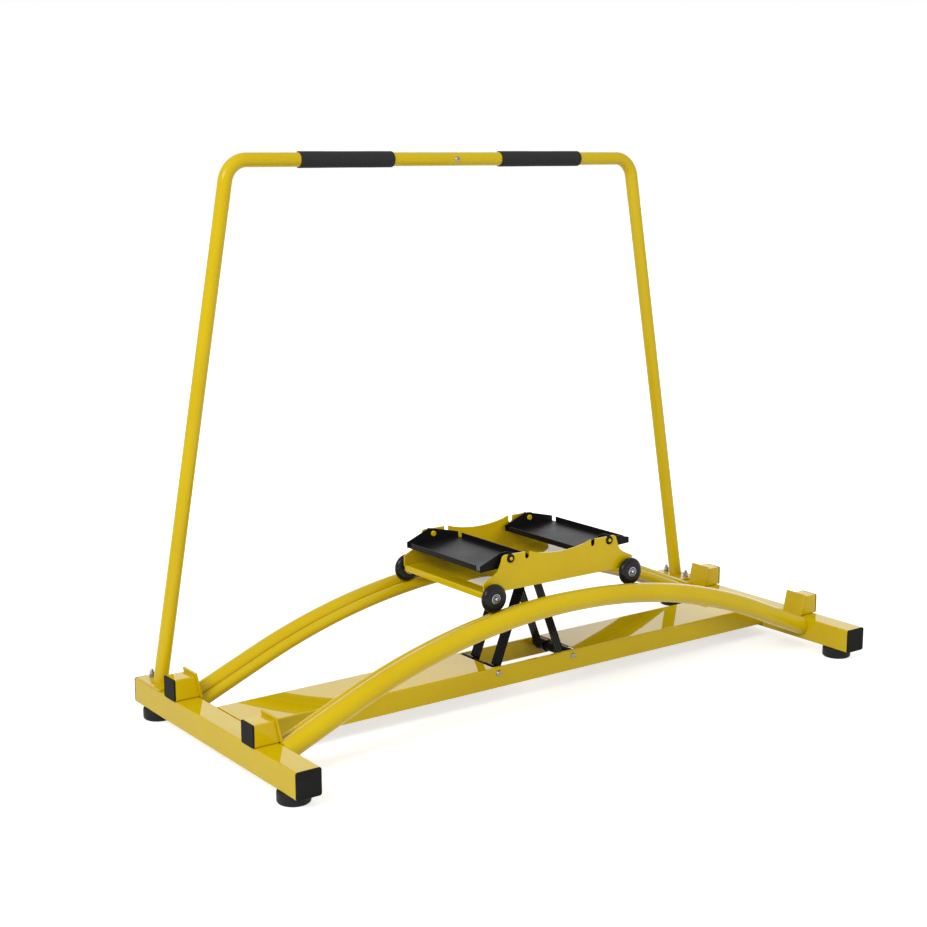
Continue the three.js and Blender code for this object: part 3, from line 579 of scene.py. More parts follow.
# %% [markdown]
# ## Tree 1: a round tube on a path
# Track and handrail are bent steel tube. A bevelled curve object would look the same, but the
# tree gives a closed mesh at once. It turns the path into a curve and sweeps a circle along
# it, with caps at the ends.

# %% Build the tube tree
tube_tree, tube_in, tube_out = new_tree(
    "round tube on a path", [("Radius", "Float"), ("Sides", "Int"), ("Material", "Material")])
as_curve = add_node(tube_tree, "GeometryNodeMeshToCurve")
circle = add_node(tube_tree, "GeometryNodeCurvePrimitiveCircle")
skin = add_node(tube_tree, "GeometryNodeCurveToMesh")
skin.inputs["Fill Caps"].default_value = True
wire(tube_in, "Geometry", as_curve, "Mesh")
wire(tube_in, "Radius", circle, "Radius")
wire(tube_in, "Sides", circle, "Resolution")
wire(as_curve, "Curve", skin, "Curve")
wire(circle, "Curve", skin, "Profile Curve")
close_tree(tube_tree, skin, tube_in, tube_out)


def bent_tube(name, path, radius, sides=48):
    values = {"Radius": radius, "Sides": sides, "Material": yellow_coat}
    return grown(name, path_object(path), tube_tree, values)


# %% [markdown]
# ## Tree 2: a fastener on every point
# The same bolt or nut sits in many places, each turned differently, as hands leave them. The
# source is a mesh of bare points with a stored angle. Instance on Points sets a fastener on
# each point and turns it by that angle.

# %% Build the fastener tree
bolt_tree, bolt_in, bolt_out = new_tree(
    "fastener on points", [("Fastener", "Object"), ("Material", "Material")])
sample = add_node(bolt_tree, "GeometryNodeObjectInfo")
turn = add_node(bolt_tree, "GeometryNodeInputNamedAttribute", data_type="FLOAT_VECTOR")
turn.inputs["Name"].default_value = "turn"
as_rotation = add_node(bolt_tree, "FunctionNodeEulerToRotation")
spread_out = add_node(bolt_tree, "GeometryNodeInstanceOnPoints")
wire(bolt_in, "Geometry", spread_out, "Points")
wire(bolt_in, "Fastener", sample, "Object")
wire(sample, "Geometry", spread_out, "Instance")
wire(turn, "Attribute", as_rotation, "Euler")
wire(as_rotation, "Rotation", spread_out, "Rotation")
close_tree(bolt_tree, spread_out, bolt_in, bolt_out)


def fastened(name, fastener, spots, material):
    """Copies a fastener to (place, turn) spots and returns one plain mesh."""
    mesh = bpy.data.meshes.new("spots")
    mesh.from_pydata([tuple(place) for place, _ in spots], [], [])
    store = mesh.attributes.new("turn", "FLOAT_VECTOR", "POINT")
    for i, (_, angles) in enumerate(spots):
        store.data[i].vector = angles
    source = bpy.data.objects.new("spots", mesh)
    scene.collection.objects.link(source)
    piece = grown(name, source, bolt_tree, {"Fastener": fastener, "Material": material})
    bpy.data.objects.remove(fastener)
    return smooth(piece)


# %% [markdown]
# ## Tree 3: a ribbed strap on a path
# The elastic bands are flat rubber straps with ribs along them. One ribbed profile could be
# swept, but its number of ribs would be fixed, and here it is an input. The core is a flat
# rectangle swept along the path. The ribs are copies of the path, set side by side across the
# width, with a round skin that stands out of both faces.

# %% Build the core of the strap
strap_tree, strap_in, strap_out = new_tree(
    "ribbed strap on a path",
    [("Width", "Float"), ("Thickness", "Float"), ("Ribs", "Int"), ("Rib Radius", "Float"),
     ("Material", "Material")])
strap_path = add_node(strap_tree, "GeometryNodeMeshToCurve")
oblong = add_node(strap_tree, "GeometryNodeCurvePrimitiveQuadrilateral")
core = add_node(strap_tree, "GeometryNodeCurveToMesh")
core.inputs["Fill Caps"].default_value = True
wire(strap_in, "Geometry", strap_path, "Mesh")
wire(strap_in, "Width", oblong, "Width")
wire(strap_in, "Thickness", oblong, "Height")
wire(strap_path, "Curve", core, "Curve")
wire(oblong, "Curve", core, "Profile Curve")
print("strap inputs:", [item.name for item in strap_tree.interface.items_tree])

# %% [markdown]
# ## Where the ribs go
# A row of ribs needs a first place and a step. The first sits half a span to one side, and the
# step is the span divided by the number of ribs less one. Four Math nodes reckon this.

# %% Space the ribs
RIB_SPAN = 0.94
span = add_node(strap_tree, "ShaderNodeMath", operation="MULTIPLY")
span.inputs[1].default_value = RIB_SPAN
less_one = add_node(strap_tree, "ShaderNodeMath", operation="SUBTRACT")
less_one.inputs[1].default_value = 1.0
step = add_node(strap_tree, "ShaderNodeMath", operation="DIVIDE")
half_back = add_node(strap_tree, "ShaderNodeMath", operation="MULTIPLY")
half_back.inputs[1].default_value = -0.5
first_rib = add_node(strap_tree, "ShaderNodeCombineXYZ")
rib_step = add_node(strap_tree, "ShaderNodeCombineXYZ")
rib_line = add_node(strap_tree, "GeometryNodeMeshLine", mode="OFFSET")
wire(strap_in, "Width", span, 0)
wire(strap_in, "Ribs", less_one, 0)
wire(span, 0, step, 0)
wire(less_one, 0, step, 1)
wire(span, 0, half_back, 0)
wire(half_back, 0, first_rib, "Y")
wire(step, 0, rib_step, "Y")
wire(strap_in, "Ribs", rib_line, "Count")
wire(first_rib, 0, rib_line, "Start Location")
wire(rib_step, 0, rib_line, "Offset")
print("ribs spread over", RIB_SPAN, "of the width")

# %% [markdown]
# ## Skin for the ribs
# Each point of that row gets a copy of the whole path, and all copies are swept with a small
# circle. Eight sides are enough for a rib two millimetres in radius. Then core and ribs join.

# %% Build the ribs and close the tree
RIB_SIDES = 8
rib_copies = add_node(strap_tree, "GeometryNodeInstanceOnPoints")
rib_real = add_node(strap_tree, "GeometryNodeRealizeInstances")
rib_round = add_node(strap_tree, "GeometryNodeCurvePrimitiveCircle")
rib_round.inputs["Resolution"].default_value = RIB_SIDES
rib_skin = add_node(strap_tree, "GeometryNodeCurveToMesh")
rib_skin.inputs["Fill Caps"].default_value = True
joined = add_node(strap_tree, "GeometryNodeJoinGeometry")
wire(rib_line, "Mesh", rib_copies, "Points")
wire(strap_path, "Curve", rib_copies, "Instance")
wire(rib_copies, "Instances", rib_real, "Geometry")
wire(strap_in, "Rib Radius", rib_round, "Radius")
wire(rib_real, "Geometry", rib_skin, "Curve")
wire(rib_round, "Curve", rib_skin, "Profile Curve")
wire(core, "Mesh", joined, "Geometry")
wire(rib_skin, "Mesh", joined, "Geometry")
close_tree(strap_tree, joined, strap_in, strap_out)

# %% [markdown]
# ## Base frame
# Two crossbars of square tube stand at the ends, with a cap in each open end. Four short stops
# on them halt the carriage, and a folded channel joins them along the middle. All of it is tube
# and sheet, so the CAD shapes only get rounded edges, widest on the square tube.

# %% Crossbars, stops, channel and caps
TUBE_EDGE, STOP_EDGE, CAP_EDGE, CHANNEL_EDGE = 0.0016, 0.0009, 0.0005, 0.0005
for side, _ in SIDES:
    pressed(f"crossbar_{side}", "coated", yellow_coat, "yellow_paint", TUBE_EDGE)
    for row, _ in ROWS:
        corner = f"{side}_{row}"
        pressed(f"crossbar_cap_{corner}", "moulded", black_plastic, "black_plastic", CAP_EDGE)
        pressed(f"stop_{corner}", "coated", yellow_coat, "yellow_paint", STOP_EDGE)
        pressed(f"stop_cap_{corner}", "moulded", black_plastic, "black_plastic", CAP_EDGE)
pressed("base_channel", "coated", yellow_coat, "yellow_paint", CHANNEL_EDGE)

# %% [markdown]
# ## The arc of the track
# Each side of the track has two round tubes bent to one arc, a thick one outside and a thin one
# that the wheels run on. A curve drawn by eye would follow the bend roughly. The real bend is
# part of a circle with straight ends, so the path is reckoned: points at even angles about the
# centre below the floor, and one point straight ahead at each end.

# %% Path of the track
TRACK_RADIUS, TRACK_CREST = 1.670, 0.2765
HALF_RUN, STRAIGHT_RUN = 0.650, 0.26
ARC_STEPS = 72
centre_z = TRACK_CREST - TRACK_RADIUS
end_angle = math.asin(HALF_RUN / TRACK_RADIUS)


def track_path(radius, y):
    points = []
    for i in range(ARC_STEPS + 1):
        angle = end_angle * (2 * i / ARC_STEPS - 1)
        points.append(Vector((radius * math.sin(angle), y, centre_z + radius * math.cos(angle))))
    ahead = Vector((math.cos(end_angle), 0, -math.sin(end_angle)))
    behind = Vector((-math.cos(end_angle), 0, -math.sin(end_angle)))
    return [points[0] + behind * STRAIGHT_RUN] + points + [points[-1] + ahead * STRAIGHT_RUN]


print("track arc:", round(math.degrees(2 * end_angle), 1), "degrees")

# %% [markdown]
# ## Track tubes
# The tubes are welded square against the crossbars, so they have to end in the plane of the
# bar's face. The path runs a little too far on purpose. Each swept tube is then cut at that
# plane, as a saw would, and the open rim is filled. A Boolean with a block does the same, but
# a straight cut is cleaner with bisect.

# %% Bend and cut the track tubes
BAR_FACE = 0.83445
RAIL_RADIUS, RAIL_Y = 0.025, 0.222
RUNNER_RADIUS, RUNNER_Y, RUNNER_DROP, RUNNER_SIDES = 0.014, 0.1827, 0.0015, 36


def cut_square(piece, x):
    bm = bmesh.new()
    bm.from_mesh(piece.data)
    for sign in (-1, 1):
        everything = bm.verts[:] + bm.edges[:] + bm.faces[:]
        result = bmesh.ops.bisect_plane(bm, geom=everything, plane_co=(sign * x, 0, 0),
                                        plane_no=(sign, 0, 0), clear_outer=True)
        rim = [e for e in result["geom_cut"] if isinstance(e, bmesh.types.BMEdge)]
        bmesh.ops.edgeloop_fill(bm, edges=rim)
    bmesh.ops.recalc_face_normals(bm, faces=bm.faces)
    bm.to_mesh(piece.data)
    bm.free()


for row, sy in ROWS:
    rail = bent_tube(f"track_tube_{row}_bent", track_path(TRACK_RADIUS, sy * RAIL_Y), RAIL_RADIUS)
    cut_square(rail, BAR_FACE)
    hand_in(smooth(rail), "yellow_paint", f"track_tube_{row}")
    path = track_path(TRACK_RADIUS - RUNNER_DROP, sy * RUNNER_Y)
    runner = bent_tube(f"running_tube_{row}_bent", path, RUNNER_RADIUS, RUNNER_SIDES)
    cut_square(runner, BAR_FACE)
    hand_in(smooth(runner), "yellow_paint", f"running_tube_{row}")
print("faces of a track tube:", len(rail.data.polygons))

# %% [markdown]
# ## Feet
# Each foot is a thick rubber puck on a threaded stud. A cylinder with a bevel would do from
# afar, but the puck's shoulders are softer than its base, so a turned profile draws both.

# %% Turn the feet
BAR_X, FOOT_Y = 0.8665, 0.327
FOOT_PROFILE = [(0.0, 0.0), (0.0335, 0.0), (0.0352, 0.0004), (0.0366, 0.0016), (0.0376, 0.0032),
                (0.038, 0.0052), (0.038, 0.0225), (0.0377, 0.0246), (0.0368, 0.0262),
                (0.0355, 0.0271), (0.006, 0.0272), (0.005, 0.0275), (0.005, 0.0395), (0.0, 0.0395)]
for corner, sx, sy in CORNERS:
    centre = (sx * BAR_X, sy * FOOT_Y, 0.0)
    foot = turned(f"foot_{corner}_turned", FOOT_PROFILE, centre, "Z", foot_rubber, steps=64)
    hand_in(foot, "rubber", f"foot_{corner}")
print("height of a foot with its stud:", FOOT_PROFILE[-1][1])

# %% [markdown]
# ## Bends and base plates
# The handrail has one tight bend at each top corner, and its legs stand on plates. A bend's
# path is a straight leg, an arc that touches both straights, and a straight bar. A plate is a
# flat block with four round corners. A bevelled cube would have all edges rounded alike, so the
# outline is drawn and raised instead.

# %% Helpers for the handrail
def bend_path(start, corner, end, radius, steps):
    into = (corner - start).normalized()
    away = (end - corner).normalized()
    angle = into.angle(away)
    inward = (away - into * away.dot(into)).normalized()
    first = corner - into * radius * math.tan(angle / 2)
    middle = first + inward * radius
    arc = [middle - inward * radius * math.cos(angle * i / steps)
           + into * radius * math.sin(angle * i / steps) for i in range(steps + 1)]
    return [start] + arc + [end]


def rounded_plate(width, length, corner, low, high, steps=8):
    bm = bmesh.new()
    rim = []
    for quarter, (right, up) in enumerate(((1, 1), (-1, 1), (-1, -1), (1, -1))):
        for i in range(steps + 1):
            angle = math.pi / 2 * (quarter + i / steps)
            rim.append((right * (width / 2 - corner) + corner * math.cos(angle),
                        up * (length / 2 - corner) + corner * math.sin(angle)))
    return close_rings(bm, [[bm.verts.new((x, y, z)) for x, y in rim] for z in (low, high)])


sample_bend = bend_path(Vector((0, 0, 0)), Vector((0, 0, 1)), Vector((1, 0, 1)), 0.1, 4)
print("a bend in four steps has", len(sample_bend), "points")

# %% [markdown]
# ## Handrail
# Two mirrored halves meet in the middle of the top bar, where a fine line shows between them.
# Each leg leans inwards by some ten degrees. One half is made for each side from the same
# numbers, its plate is merged in, and a tiny gap is left at the joint.

# %% Bend the handrail halves
RAILING_Y, RAILING_TOP, RAILING_RADIUS = 0.3145, 1.3509, 0.018
LEG_X, LEG_Z, CORNER_X, JOINT_GAP = 0.8653, 0.0915, 0.6416, 0.00003
BEND_RADIUS, BEND_STEPS = 0.060, 24
PLATE_WIDTH, PLATE_LENGTH, PLATE_CORNER = 0.0635, 0.120, 0.006
PLATE_LOW, PLATE_HIGH = 0.0913, 0.0968
for side, sx in SIDES:
    leg = Vector((sx * LEG_X, RAILING_Y, LEG_Z))
    corner = Vector((sx * CORNER_X, RAILING_Y, RAILING_TOP))
    middle = Vector((sx * JOINT_GAP, RAILING_Y, RAILING_TOP))
    path = bend_path(leg, corner, middle, BEND_RADIUS, BEND_STEPS)
    half = bent_tube(f"handrail_{side}_bent", path, RAILING_RADIUS)
    plate = rounded_plate(PLATE_WIDTH, PLATE_LENGTH, PLATE_CORNER, PLATE_LOW, PLATE_HIGH)
    plate.transform(Matrix.Translation((sx * BAR_X, RAILING_Y, 0.0)))
    merge_into(half, plate)
    hand_in(smooth(half), "yellow_paint", f"handrail_{side}")
print("handrail top:", round(RAILING_TOP + RAILING_RADIUS, 4))

# %% [markdown]
# ## Foam grips
# The grips are foam sleeves pushed over the bar. Foam is too stiff here to need a cloth
# simulation, so each sleeve is turned, hollow, with rounded ends. Along it the wall swells and
# shrinks by a tenth of a millimetre, as cut foam does, and the pores are in the finish.

# %% Turn the grips
GRIP_START, GRIP_END, GRIP_RADIUS, GRIP_BORE = 0.172, 0.448, 0.0205, 0.0184
GRIP_LIP, GRIP_SHOULDER, LIP_DEPTH = 0.0192, 0.0200, 0.0005
GRIP_ROUND, GRIP_STEPS = 0.002, 24
SWELL, WAVES = 0.00012, 9.0
grip_profile = [(GRIP_BORE, GRIP_START), (GRIP_LIP, GRIP_START),
                (GRIP_SHOULDER, GRIP_START + LIP_DEPTH), (GRIP_RADIUS, GRIP_START + GRIP_ROUND)]
for i in range(1, GRIP_STEPS):
    share = i / GRIP_STEPS
    place = GRIP_START + GRIP_ROUND + share * (GRIP_END - GRIP_START - 2 * GRIP_ROUND)
    grip_profile.append((GRIP_RADIUS + SWELL * math.sin(WAVES * share) - SWELL, place))
grip_profile += [(GRIP_RADIUS, GRIP_END - GRIP_ROUND), (GRIP_SHOULDER, GRIP_END - LIP_DEPTH),
                 (GRIP_LIP, GRIP_END), (GRIP_BORE, GRIP_END)]
for side, sx in SIDES:
    grip = turned(f"grip_{side}_foam", grip_profile, (0.0, RAILING_Y, RAILING_TOP), "X",
                  grip_foam, steps=64, closed=True, facing=sx)
    hand_in(grip, "foam", f"grip_{side}")
print("grip length:", round(GRIP_END - GRIP_START, 3))

# %% [markdown]
# ## Nuts
# A hexagon nut is a six-sided bar whose corners are turned off at both ends. Four rings of six
# points draw it: the outer two are smaller by the chamfer. A cylinder of six sides with a bevel
# would round its upright edges too, which a real nut doesn't do.

# %% Draw a nut
NUT_RADIUS, NUT_CHAMFER, CHAMFER_SLOPE = 0.0075, 0.0009, 0.6


def hexagon(radius, low, high, chamfer):
    bm = bmesh.new()
    slope = chamfer * CHAMFER_SLOPE
    rings = [[bm.verts.new((r * math.cos(math.pi / 3 * k), r * math.sin(math.pi / 3 * k), z))
              for k in range(6)]
             for r, z in ((radius - chamfer, low), (radius, low + slope),
                          (radius, high - slope), (radius - chamfer, high))]
    return close_rings(bm, rings)


print("nut across corners:", 2 * NUT_RADIUS)

# %% [markdown]
# ## Button heads
# The bolts have domed heads with a hexagon socket. Cutting the socket with a Boolean leaves
# ragged faces on such a small dome. Here the rings of the dome simply change from round to
# hexagonal at the socket's rim and go down into it, so the mesh stays even.

# %% Draw a button head
DOME = ((1.0, 0.0), (1.0, 0.12), (0.93, 0.45), (0.78, 0.78), (0.62, 0.95))
HEAD_STEPS = 36


def hexagon_reach(socket, angle):
    inside = (angle + math.pi / 6) % (math.pi / 3) - math.pi / 6
    return socket * math.cos(math.pi / 6) / math.cos(inside)


def socket_head(radius, height, socket, depth):
    """A dome on Z whose rings pass from round to hexagonal."""
    bm = bmesh.new()
    angles = [2 * math.pi * k / HEAD_STEPS for k in range(HEAD_STEPS)]
    stack = [([radius * wide] * HEAD_STEPS, height * tall) for wide, tall in DOME]
    stack += [([hexagon_reach(socket, angle) for angle in angles], z)
              for z in (height, height - depth)]
    rings = [[bm.verts.new((reach * math.cos(angle), reach * math.sin(angle), z))
              for reach, angle in zip(reaches, angles)] for reaches, z in stack]
    return close_rings(bm, rings)


print("rings of a button head:", len(DOME) + 2)

# %% [markdown]
# ## Studs and nuts on the base plates
# Each leg of the handrail is held by two studs with a washer and a nut. Stud and washer are one
# turned profile, the nut is merged on, and the fastener tree sets all four. Each is turned
# further than the last, because no two nuts end up alike.

# %% Set the studs
STUD_Y, STUD_Z = (0.272, 0.357), 0.0971
FIRST_TURN, NEXT_TURN = 0.3, 0.9
stud_profile = [(0.0, -0.012), (0.004, -0.012), (0.004, 0.0), (0.009, 0.0), (0.009, 0.0013),
                (0.0085, 0.0015), (0.0041, 0.0015), (0.0041, 0.0185), (0.0033, 0.0195),
                (0.0, 0.0195)]
stud = to_object("stud", turned_mesh(stud_profile, steps=32), bright_steel)
merge_into(stud, hexagon(NUT_RADIUS, 0.0016, 0.0125, NUT_CHAMFER))
places = [(sx * BAR_X, y, STUD_Z) for _, sx in SIDES for y in STUD_Y]
spots = [(place, (0.0, 0.0, FIRST_TURN + NEXT_TURN * i)) for i, place in enumerate(places)]
studs = fastened("base_studs_and_nuts", stud, spots, bright_steel)
hand_in(studs, "bright_steel", *four("base_bolt"))
print("studs:", len(spots))

# %% [markdown]
# ## Roller bolts
# Two long bolts cross the base channel and carry the band rollers. Button heads show on the
# front, and nuts hold them at the back. Heads and nuts are two pieces, each set on two points.
# The long shank is part of the nut's mesh.

# %% Set the roller bolts
ROLLER_X, ROLLER_Z, CHANNEL_FACE = 0.123, 0.0760, 0.0803
HEAD_TURN, NUT_TURN = 0.4, 0.2
dome = socket_head(radius=0.0078, height=0.0045, socket=0.0030, depth=0.002)
head = to_object("button head", dome, bright_steel)
front = [((sx * ROLLER_X, -CHANNEL_FACE, ROLLER_Z), (math.pi / 2, HEAD_TURN * sx, 0.0))
         for _, sx in SIDES]
heads = fastened("roller_bolt_heads", head, front, bright_steel)
nut = to_object("nut", hexagon(NUT_RADIUS, 0.0, 0.006, NUT_CHAMFER), bright_steel)
shank_profile = [(0.0, -0.1606), (0.004, -0.1606), (0.004, 0.0072), (0.0034, 0.0079),
                 (0.0, 0.0079)]
merge_into(nut, turned_mesh(shank_profile, steps=24))
back = [((sx * ROLLER_X, CHANNEL_FACE, ROLLER_Z), (-math.pi / 2, NUT_TURN * sx, 0.0))
        for _, sx in SIDES]
nuts = fastened("roller_bolt_nuts", nut, back, bright_steel)
hand_in(heads, "bright_steel", "roller_bolt_left", "roller_bolt_right")
hand_in(nuts, "bright_steel", body="frame")
print("roller bolts:", len(front))

# %% [markdown]
# ## The screw at the handrail joint
# A small screw beside the joint line holds the inner sleeve of the top bar. It is too small for
# a CAD node, but it is a bright dot that the eye finds. It is a smaller button head on one
# point at the front of the bar.

# %% Set the joint screw
SCREW_X, SCREW_OUT, SCREW_TURN = 0.0245, 0.0176, 0.2
dome = socket_head(radius=0.0072, height=0.0036, socket=0.0036, depth=0.0022)
screw = to_object("joint screw", dome, bright_steel)
screw_place = (SCREW_X, RAILING_Y - SCREW_OUT, RAILING_TOP)
joint = fastened("handrail_joint_screw", screw,
                 [(screw_place, (math.pi / 2, SCREW_TURN, 0.0))], bright_steel)
hand_in(joint, "bright_steel", body="frame")
print("joint screw at", screw_place)

# %% [markdown]
# ## Band rollers
# The lower ends of the bands sit on two plastic rollers inside the cut-out of the channel. Each
# is a hollow bar with chamfered ends, turned in one closed profile, and it spins on its bolt.

# %% Turn the rollers
roller_profile = [(0.0046, -0.0765), (0.0112, -0.0765), (0.012, -0.0757), (0.012, 0.0757),
                  (0.0112, 0.0765), (0.0046, 0.0765)]
for side, sx in SIDES:
    roller = turned(f"band_roller_{side}_turned", roller_profile, (sx * ROLLER_X, 0.0, ROLLER_Z),
                    "Y", black_plastic, steps=40, closed=True)
    hand_in(roller, "black_plastic", f"band_roller_{side}")
print("roller length:", 2 * roller_profile[-1][1])

# %% [markdown]
# ## The line of a band
# A band leaves its roller along a tangent and runs straight up to the anchor under the
# carriage. A guessed line would leave a kink or a gap at the roller, so the tangent is solved
# from the two centres and the roller's radius. A short wrap below it tucks into the eye.

# %% Solve the line of the strap
ANCHOR_X, ANCHOR_Z = 0.013, 0.3197
EYE_BORE, EYE_WALL, EYE_DEPTH = 0.01235, 0.0034, 0.002
WRAP, TUCK, WRAP_STEPS = math.radians(30.0), 0.0006, 8
TOP_GAP, STRAIGHT_STEPS = 0.004, 40
strap_radius = EYE_BORE + EYE_DEPTH
rise = Vector((ANCHOR_X - ROLLER_X, ANCHOR_Z - ROLLER_Z))
reach = math.sqrt(rise.length_squared - strap_radius ** 2)
lean = math.atan2(-rise.x, rise.y) - math.atan2(strap_radius, reach)
hub = Vector((ROLLER_X, ROLLER_Z))
low = hub - Vector((math.cos(lean), math.sin(lean))) * strap_radius
along = Vector((-math.sin(lean), math.cos(lean)))
strap_line = [hub - Vector((math.cos(lean + bend), math.sin(lean + bend)))
              * (strap_radius - TUCK * (bend / WRAP) ** 2)
              for bend in [WRAP * (WRAP_STEPS - i) / WRAP_STEPS for i in range(WRAP_STEPS)]]
strap_line += [low + along * (reach - TOP_GAP) * i / STRAIGHT_STEPS
               for i in range(STRAIGHT_STEPS + 1)]
print("band length:", round(reach, 3), "lean:", round(math.degrees(lean), 1))

# %% [markdown]
# ## Elastic bands
# Four flat rubber straps with ribs along both faces pull the carriage back to the middle. Each ends
# below in a moulded eye round its roller. On the machine the lower end stays with the frame and the
# upper end moves with the carriage, so a band stretches and leans as the carriage rolls away. Here
# each band is laid at rest as one mesh in place of its CAD node.

# %% Lay the ribbed bands
BAND_Y, BAND_WIDTH, BAND_THICKNESS = 0.044, 0.036, 0.0024
STRAP_PLAY, RIB_COUNT, RIB_RADIUS = 0.0005, 4, 0.00195
eye_profile = [(EYE_BORE, -BAND_WIDTH / 2), (EYE_BORE + EYE_WALL, -BAND_WIDTH / 2),
               (EYE_BORE + EYE_WALL, BAND_WIDTH / 2), (EYE_BORE, BAND_WIDTH / 2)]
strap_sizes = {"Width": BAND_WIDTH - STRAP_PLAY, "Thickness": BAND_THICKNESS,
               "Ribs": RIB_COUNT, "Rib Radius": RIB_RADIUS, "Material": band_rubber}
for corner, sx, sy in CORNERS:
    path = path_object([(sx * p.x, sy * BAND_Y, p.y) for p in strap_line])
    band = grown(f"band_{corner}_ribbed", path, strap_tree, strap_sizes)
    eye = turned_mesh(eye_profile, steps=40, closed=True)
    eye.transform(Matrix.Translation((sx * ROLLER_X, sy * BAND_Y, ROLLER_Z)) @ TURN["Y"])
    merge_into(band, eye)
    smooth(band)
    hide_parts(f"band_{corner}")
    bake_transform(band)
print("faces of a band:", len(band.data.polygons))

# %% [markdown]
# ## Carriage
# The deck is one folded sheet, and two side plates with scalloped upper edges stand on it. The
# footplates are black trays with low lips and pointed ends. As on the base frame, the CAD shapes
# only get rounded edges. The side plates are bevelled from 34 degrees on, so that the corners
# of the scallops are softened too.

# %% Deck, side plates and footplates
DECK_EDGE, PLATE_EDGE, TRAY_EDGE, PLATE_BEVEL_ABOVE = 0.0006, 0.0005, 0.0005, 34.0
pressed("carriage_deck", "coated", yellow_coat, "yellow_paint", DECK_EDGE)
for row, _ in ROWS:
    pressed(f"side_plate_{row}", "coated", yellow_coat, "yellow_paint", PLATE_EDGE,
            PLATE_BEVEL_ABOVE)
for side, _ in SIDES:
    pressed(f"footplate_{side}", "coated", black_coat, "black_paint", TRAY_EDGE)

# %% [markdown]
# ## Wheels
# The wheels are the size of skate wheels: a hard black tread with a rounded crown and a step at
# the hub, where a bearing is pressed in. One turned profile holds all of that. Its outer face
# differs from the inner one, so the profile is mirrored between the front and the back.

# %% Turn the wheels
AXLE_X, AXLE_Z, WHEEL_Y, TREAD = 0.220, 0.3110, 0.186, 0.0357
wheel_profile = [(0.0045, -0.0110), (0.0135, -0.0110), (0.0142, -0.0104), (0.0200, -0.0104),
                 (0.0208, -0.0110), (0.0250, -0.0110), (0.0283, -0.0101), (0.0313, -0.0083),
                 (0.0336, -0.0060), (0.0350, -0.0034), (TREAD, 0.0), (0.0350, 0.0034),
                 (0.0336, 0.0060), (0.0313, 0.0083), (0.0283, 0.0101), (0.0250, 0.0110),
                 (0.0208, 0.0110), (0.0200, 0.0104), (0.0152, 0.0104), (0.0146, 0.0110),
                 (0.0140, 0.0108), (0.0137, 0.0082), (0.0045, 0.0080)]
for corner, sx, sy in CORNERS:
    centre = (sx * AXLE_X, sy * WHEEL_Y, AXLE_Z)
    wheel = turned(f"wheel_{corner}_turned", wheel_profile, centre, "Y", wheel_rubber, steps=72,
                   closed=True, facing=sy)
    hand_in(wheel, "wheel_rubber", f"wheel_{corner}")
print("wheel across:", 2 * TREAD)

# %% [markdown]
# ## Axle bolts and bearings
# In the hub of each wheel the bearing shows as a bright ring round the bolt head. Bolt, ring,
# head and the nut behind the side plate don't turn with the wheel, so they are one fastener
# that rides on the carriage, set on four spots.

# %% Set the axle bolts
AXLE_Y, HUB_OUT = 0.1720, 0.0246
SIDE_TURN, ROW_TURN = 0.5, 0.2
axle_profile = [(0.0, -0.0155), (0.004, -0.0155), (0.004, -0.0005), (0.007, -0.0005),
                (0.007, 0.0022), (0.004, 0.0022), (0.004, 0.0223), (0.0128, 0.0223),
                (0.013, 0.0226), (0.013, 0.0240), (0.0122, 0.0245), (0.0104, 0.0245),
                (0.0100, 0.0238), (0.0084, 0.0238), (0.0080, HUB_OUT), (0.0066, HUB_OUT),
                (0.0, HUB_OUT)]
axle = to_object("axle bolt", turned_mesh(axle_profile, steps=48), bright_steel)
dome = socket_head(radius=0.0064, height=0.0062, socket=0.0030, depth=0.0026)
dome.transform(Matrix.Translation((0.0, 0.0, HUB_OUT)))
merge_into(axle, dome)
merge_into(axle, hexagon(NUT_RADIUS, -0.0103, -0.0043, 0.0008))
spots = [((sx * AXLE_X, sy * AXLE_Y, AXLE_Z),
          (-sy * math.pi / 2, SIDE_TURN * sx + ROW_TURN * sy, 0.0)) for _, sx, sy in CORNERS]
axles = fastened("axle_bolts_and_bearings", axle, spots, bright_steel)
hand_in(axles, "bright_steel", *four("axle_bolt"))
print("axle bolts:", len(spots))

# %% [markdown]
# ## Bearing seals
# Between the rings of a bearing lies a thin black seal. It has another finish than the steel,
# so it is a piece of its own: a flat turned ring on the same four spots.

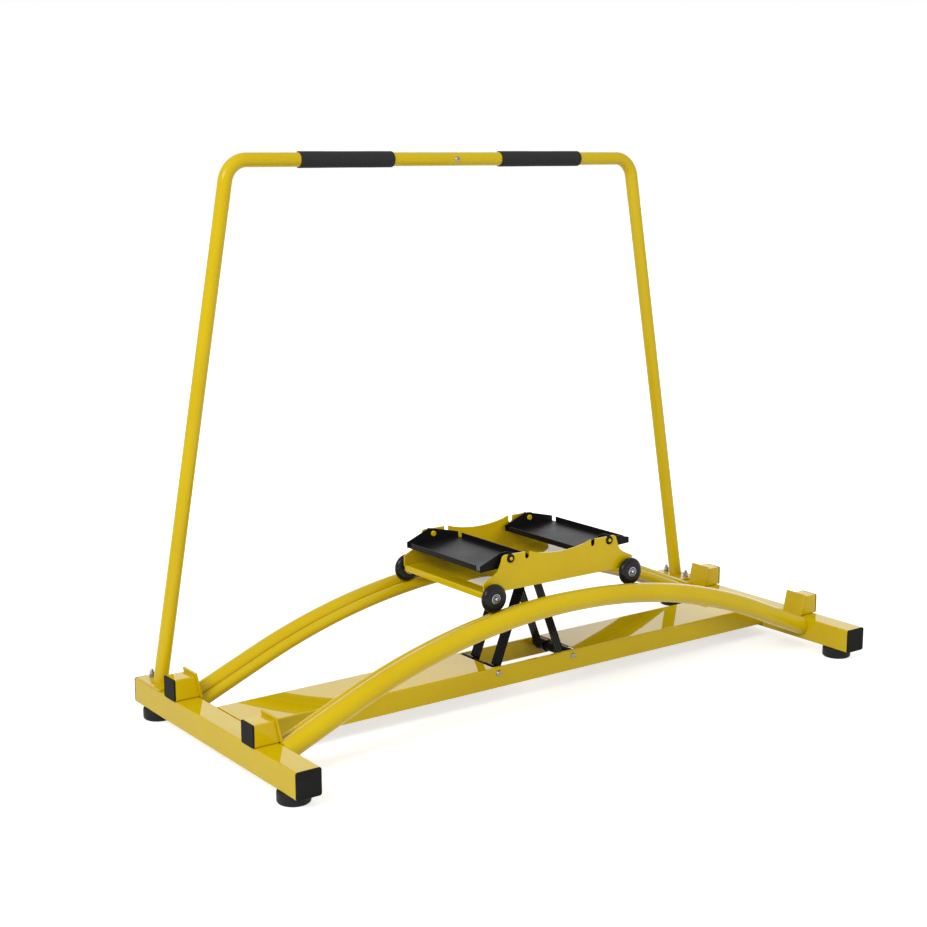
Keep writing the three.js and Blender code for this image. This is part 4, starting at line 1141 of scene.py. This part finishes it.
# %% Set the seals
seal_profile = [(0.0083, 0.0236), (0.0101, 0.0236), (0.0102, 0.0241), (0.0099, 0.0243),
                (0.0085, 0.0243), (0.0082, 0.0241)]
seal = to_object("seal", turned_mesh(seal_profile, steps=48, closed=True), black_plastic)
seals = fastened("bearing_seals", seal, spots, black_plastic)
hand_in(seals, "black_plastic", body="carriage")
print("faces of the seals:", len(seals.data.polygons))

# %% [markdown]
# ## Pivots of the footplates
# Each footplate hangs on two bolts with round yellow heads inside the tray. They turn in black
# bushings that sit in open slots of the side plates and show as a ring round the bolt's end.
# Both are turned. The profiles are written with their distance from the middle of the machine,
# so that the front and back ones differ only in sign.

# %% Turn the pivot bolts and bushings
PIVOT_X, PIVOT_Z = 0.159, 0.3990
bolt_profile = [(0.0, 0.1512), (0.0017, 0.1510), (0.0021, 0.1490), (0.0056, 0.1490),
                (0.0066, 0.1494), (0.0071, 0.1505), (0.0071, 0.1537), (0.0045, 0.1542),
                (0.0045, 0.1762), (0.0039, 0.1770), (0.0, 0.1770)]
bush_profile = [(0.0049, 0.1573), (0.0098, 0.1573), (0.0098, 0.1677), (0.0067, 0.1677),
                (0.0067, 0.1723), (0.0101, 0.1723), (0.0107, 0.1728), (0.0107, 0.1744),
                (0.0101, 0.1752), (0.0060, 0.1752), (0.0049, 0.1746)]
for corner, sx, sy in CORNERS:
    centre = (sx * PIVOT_X, 0.0, PIVOT_Z)
    bolt = turned(f"pivot_bolt_{corner}_turned", bolt_profile, centre, "Y", yellow_coat,
                  steps=40, facing=sy)
    hand_in(bolt, "yellow_paint", f"pivot_bolt_{corner}")
    bush = turned(f"pivot_bushing_{corner}_turned", bush_profile, centre, "Y", black_plastic,
                  steps=40, closed=True, facing=sy)
    hand_in(bush, "black_plastic", f"pivot_bushing_{corner}")
print("faces of a bushing:", len(bush.data.polygons))

# %% [markdown]
# ## Last settings
# The Standard view transform keeps a written colour as it is, where the default one would soften
# the yellow.

# %% Finish
scene.view_settings.view_transform = "Standard"
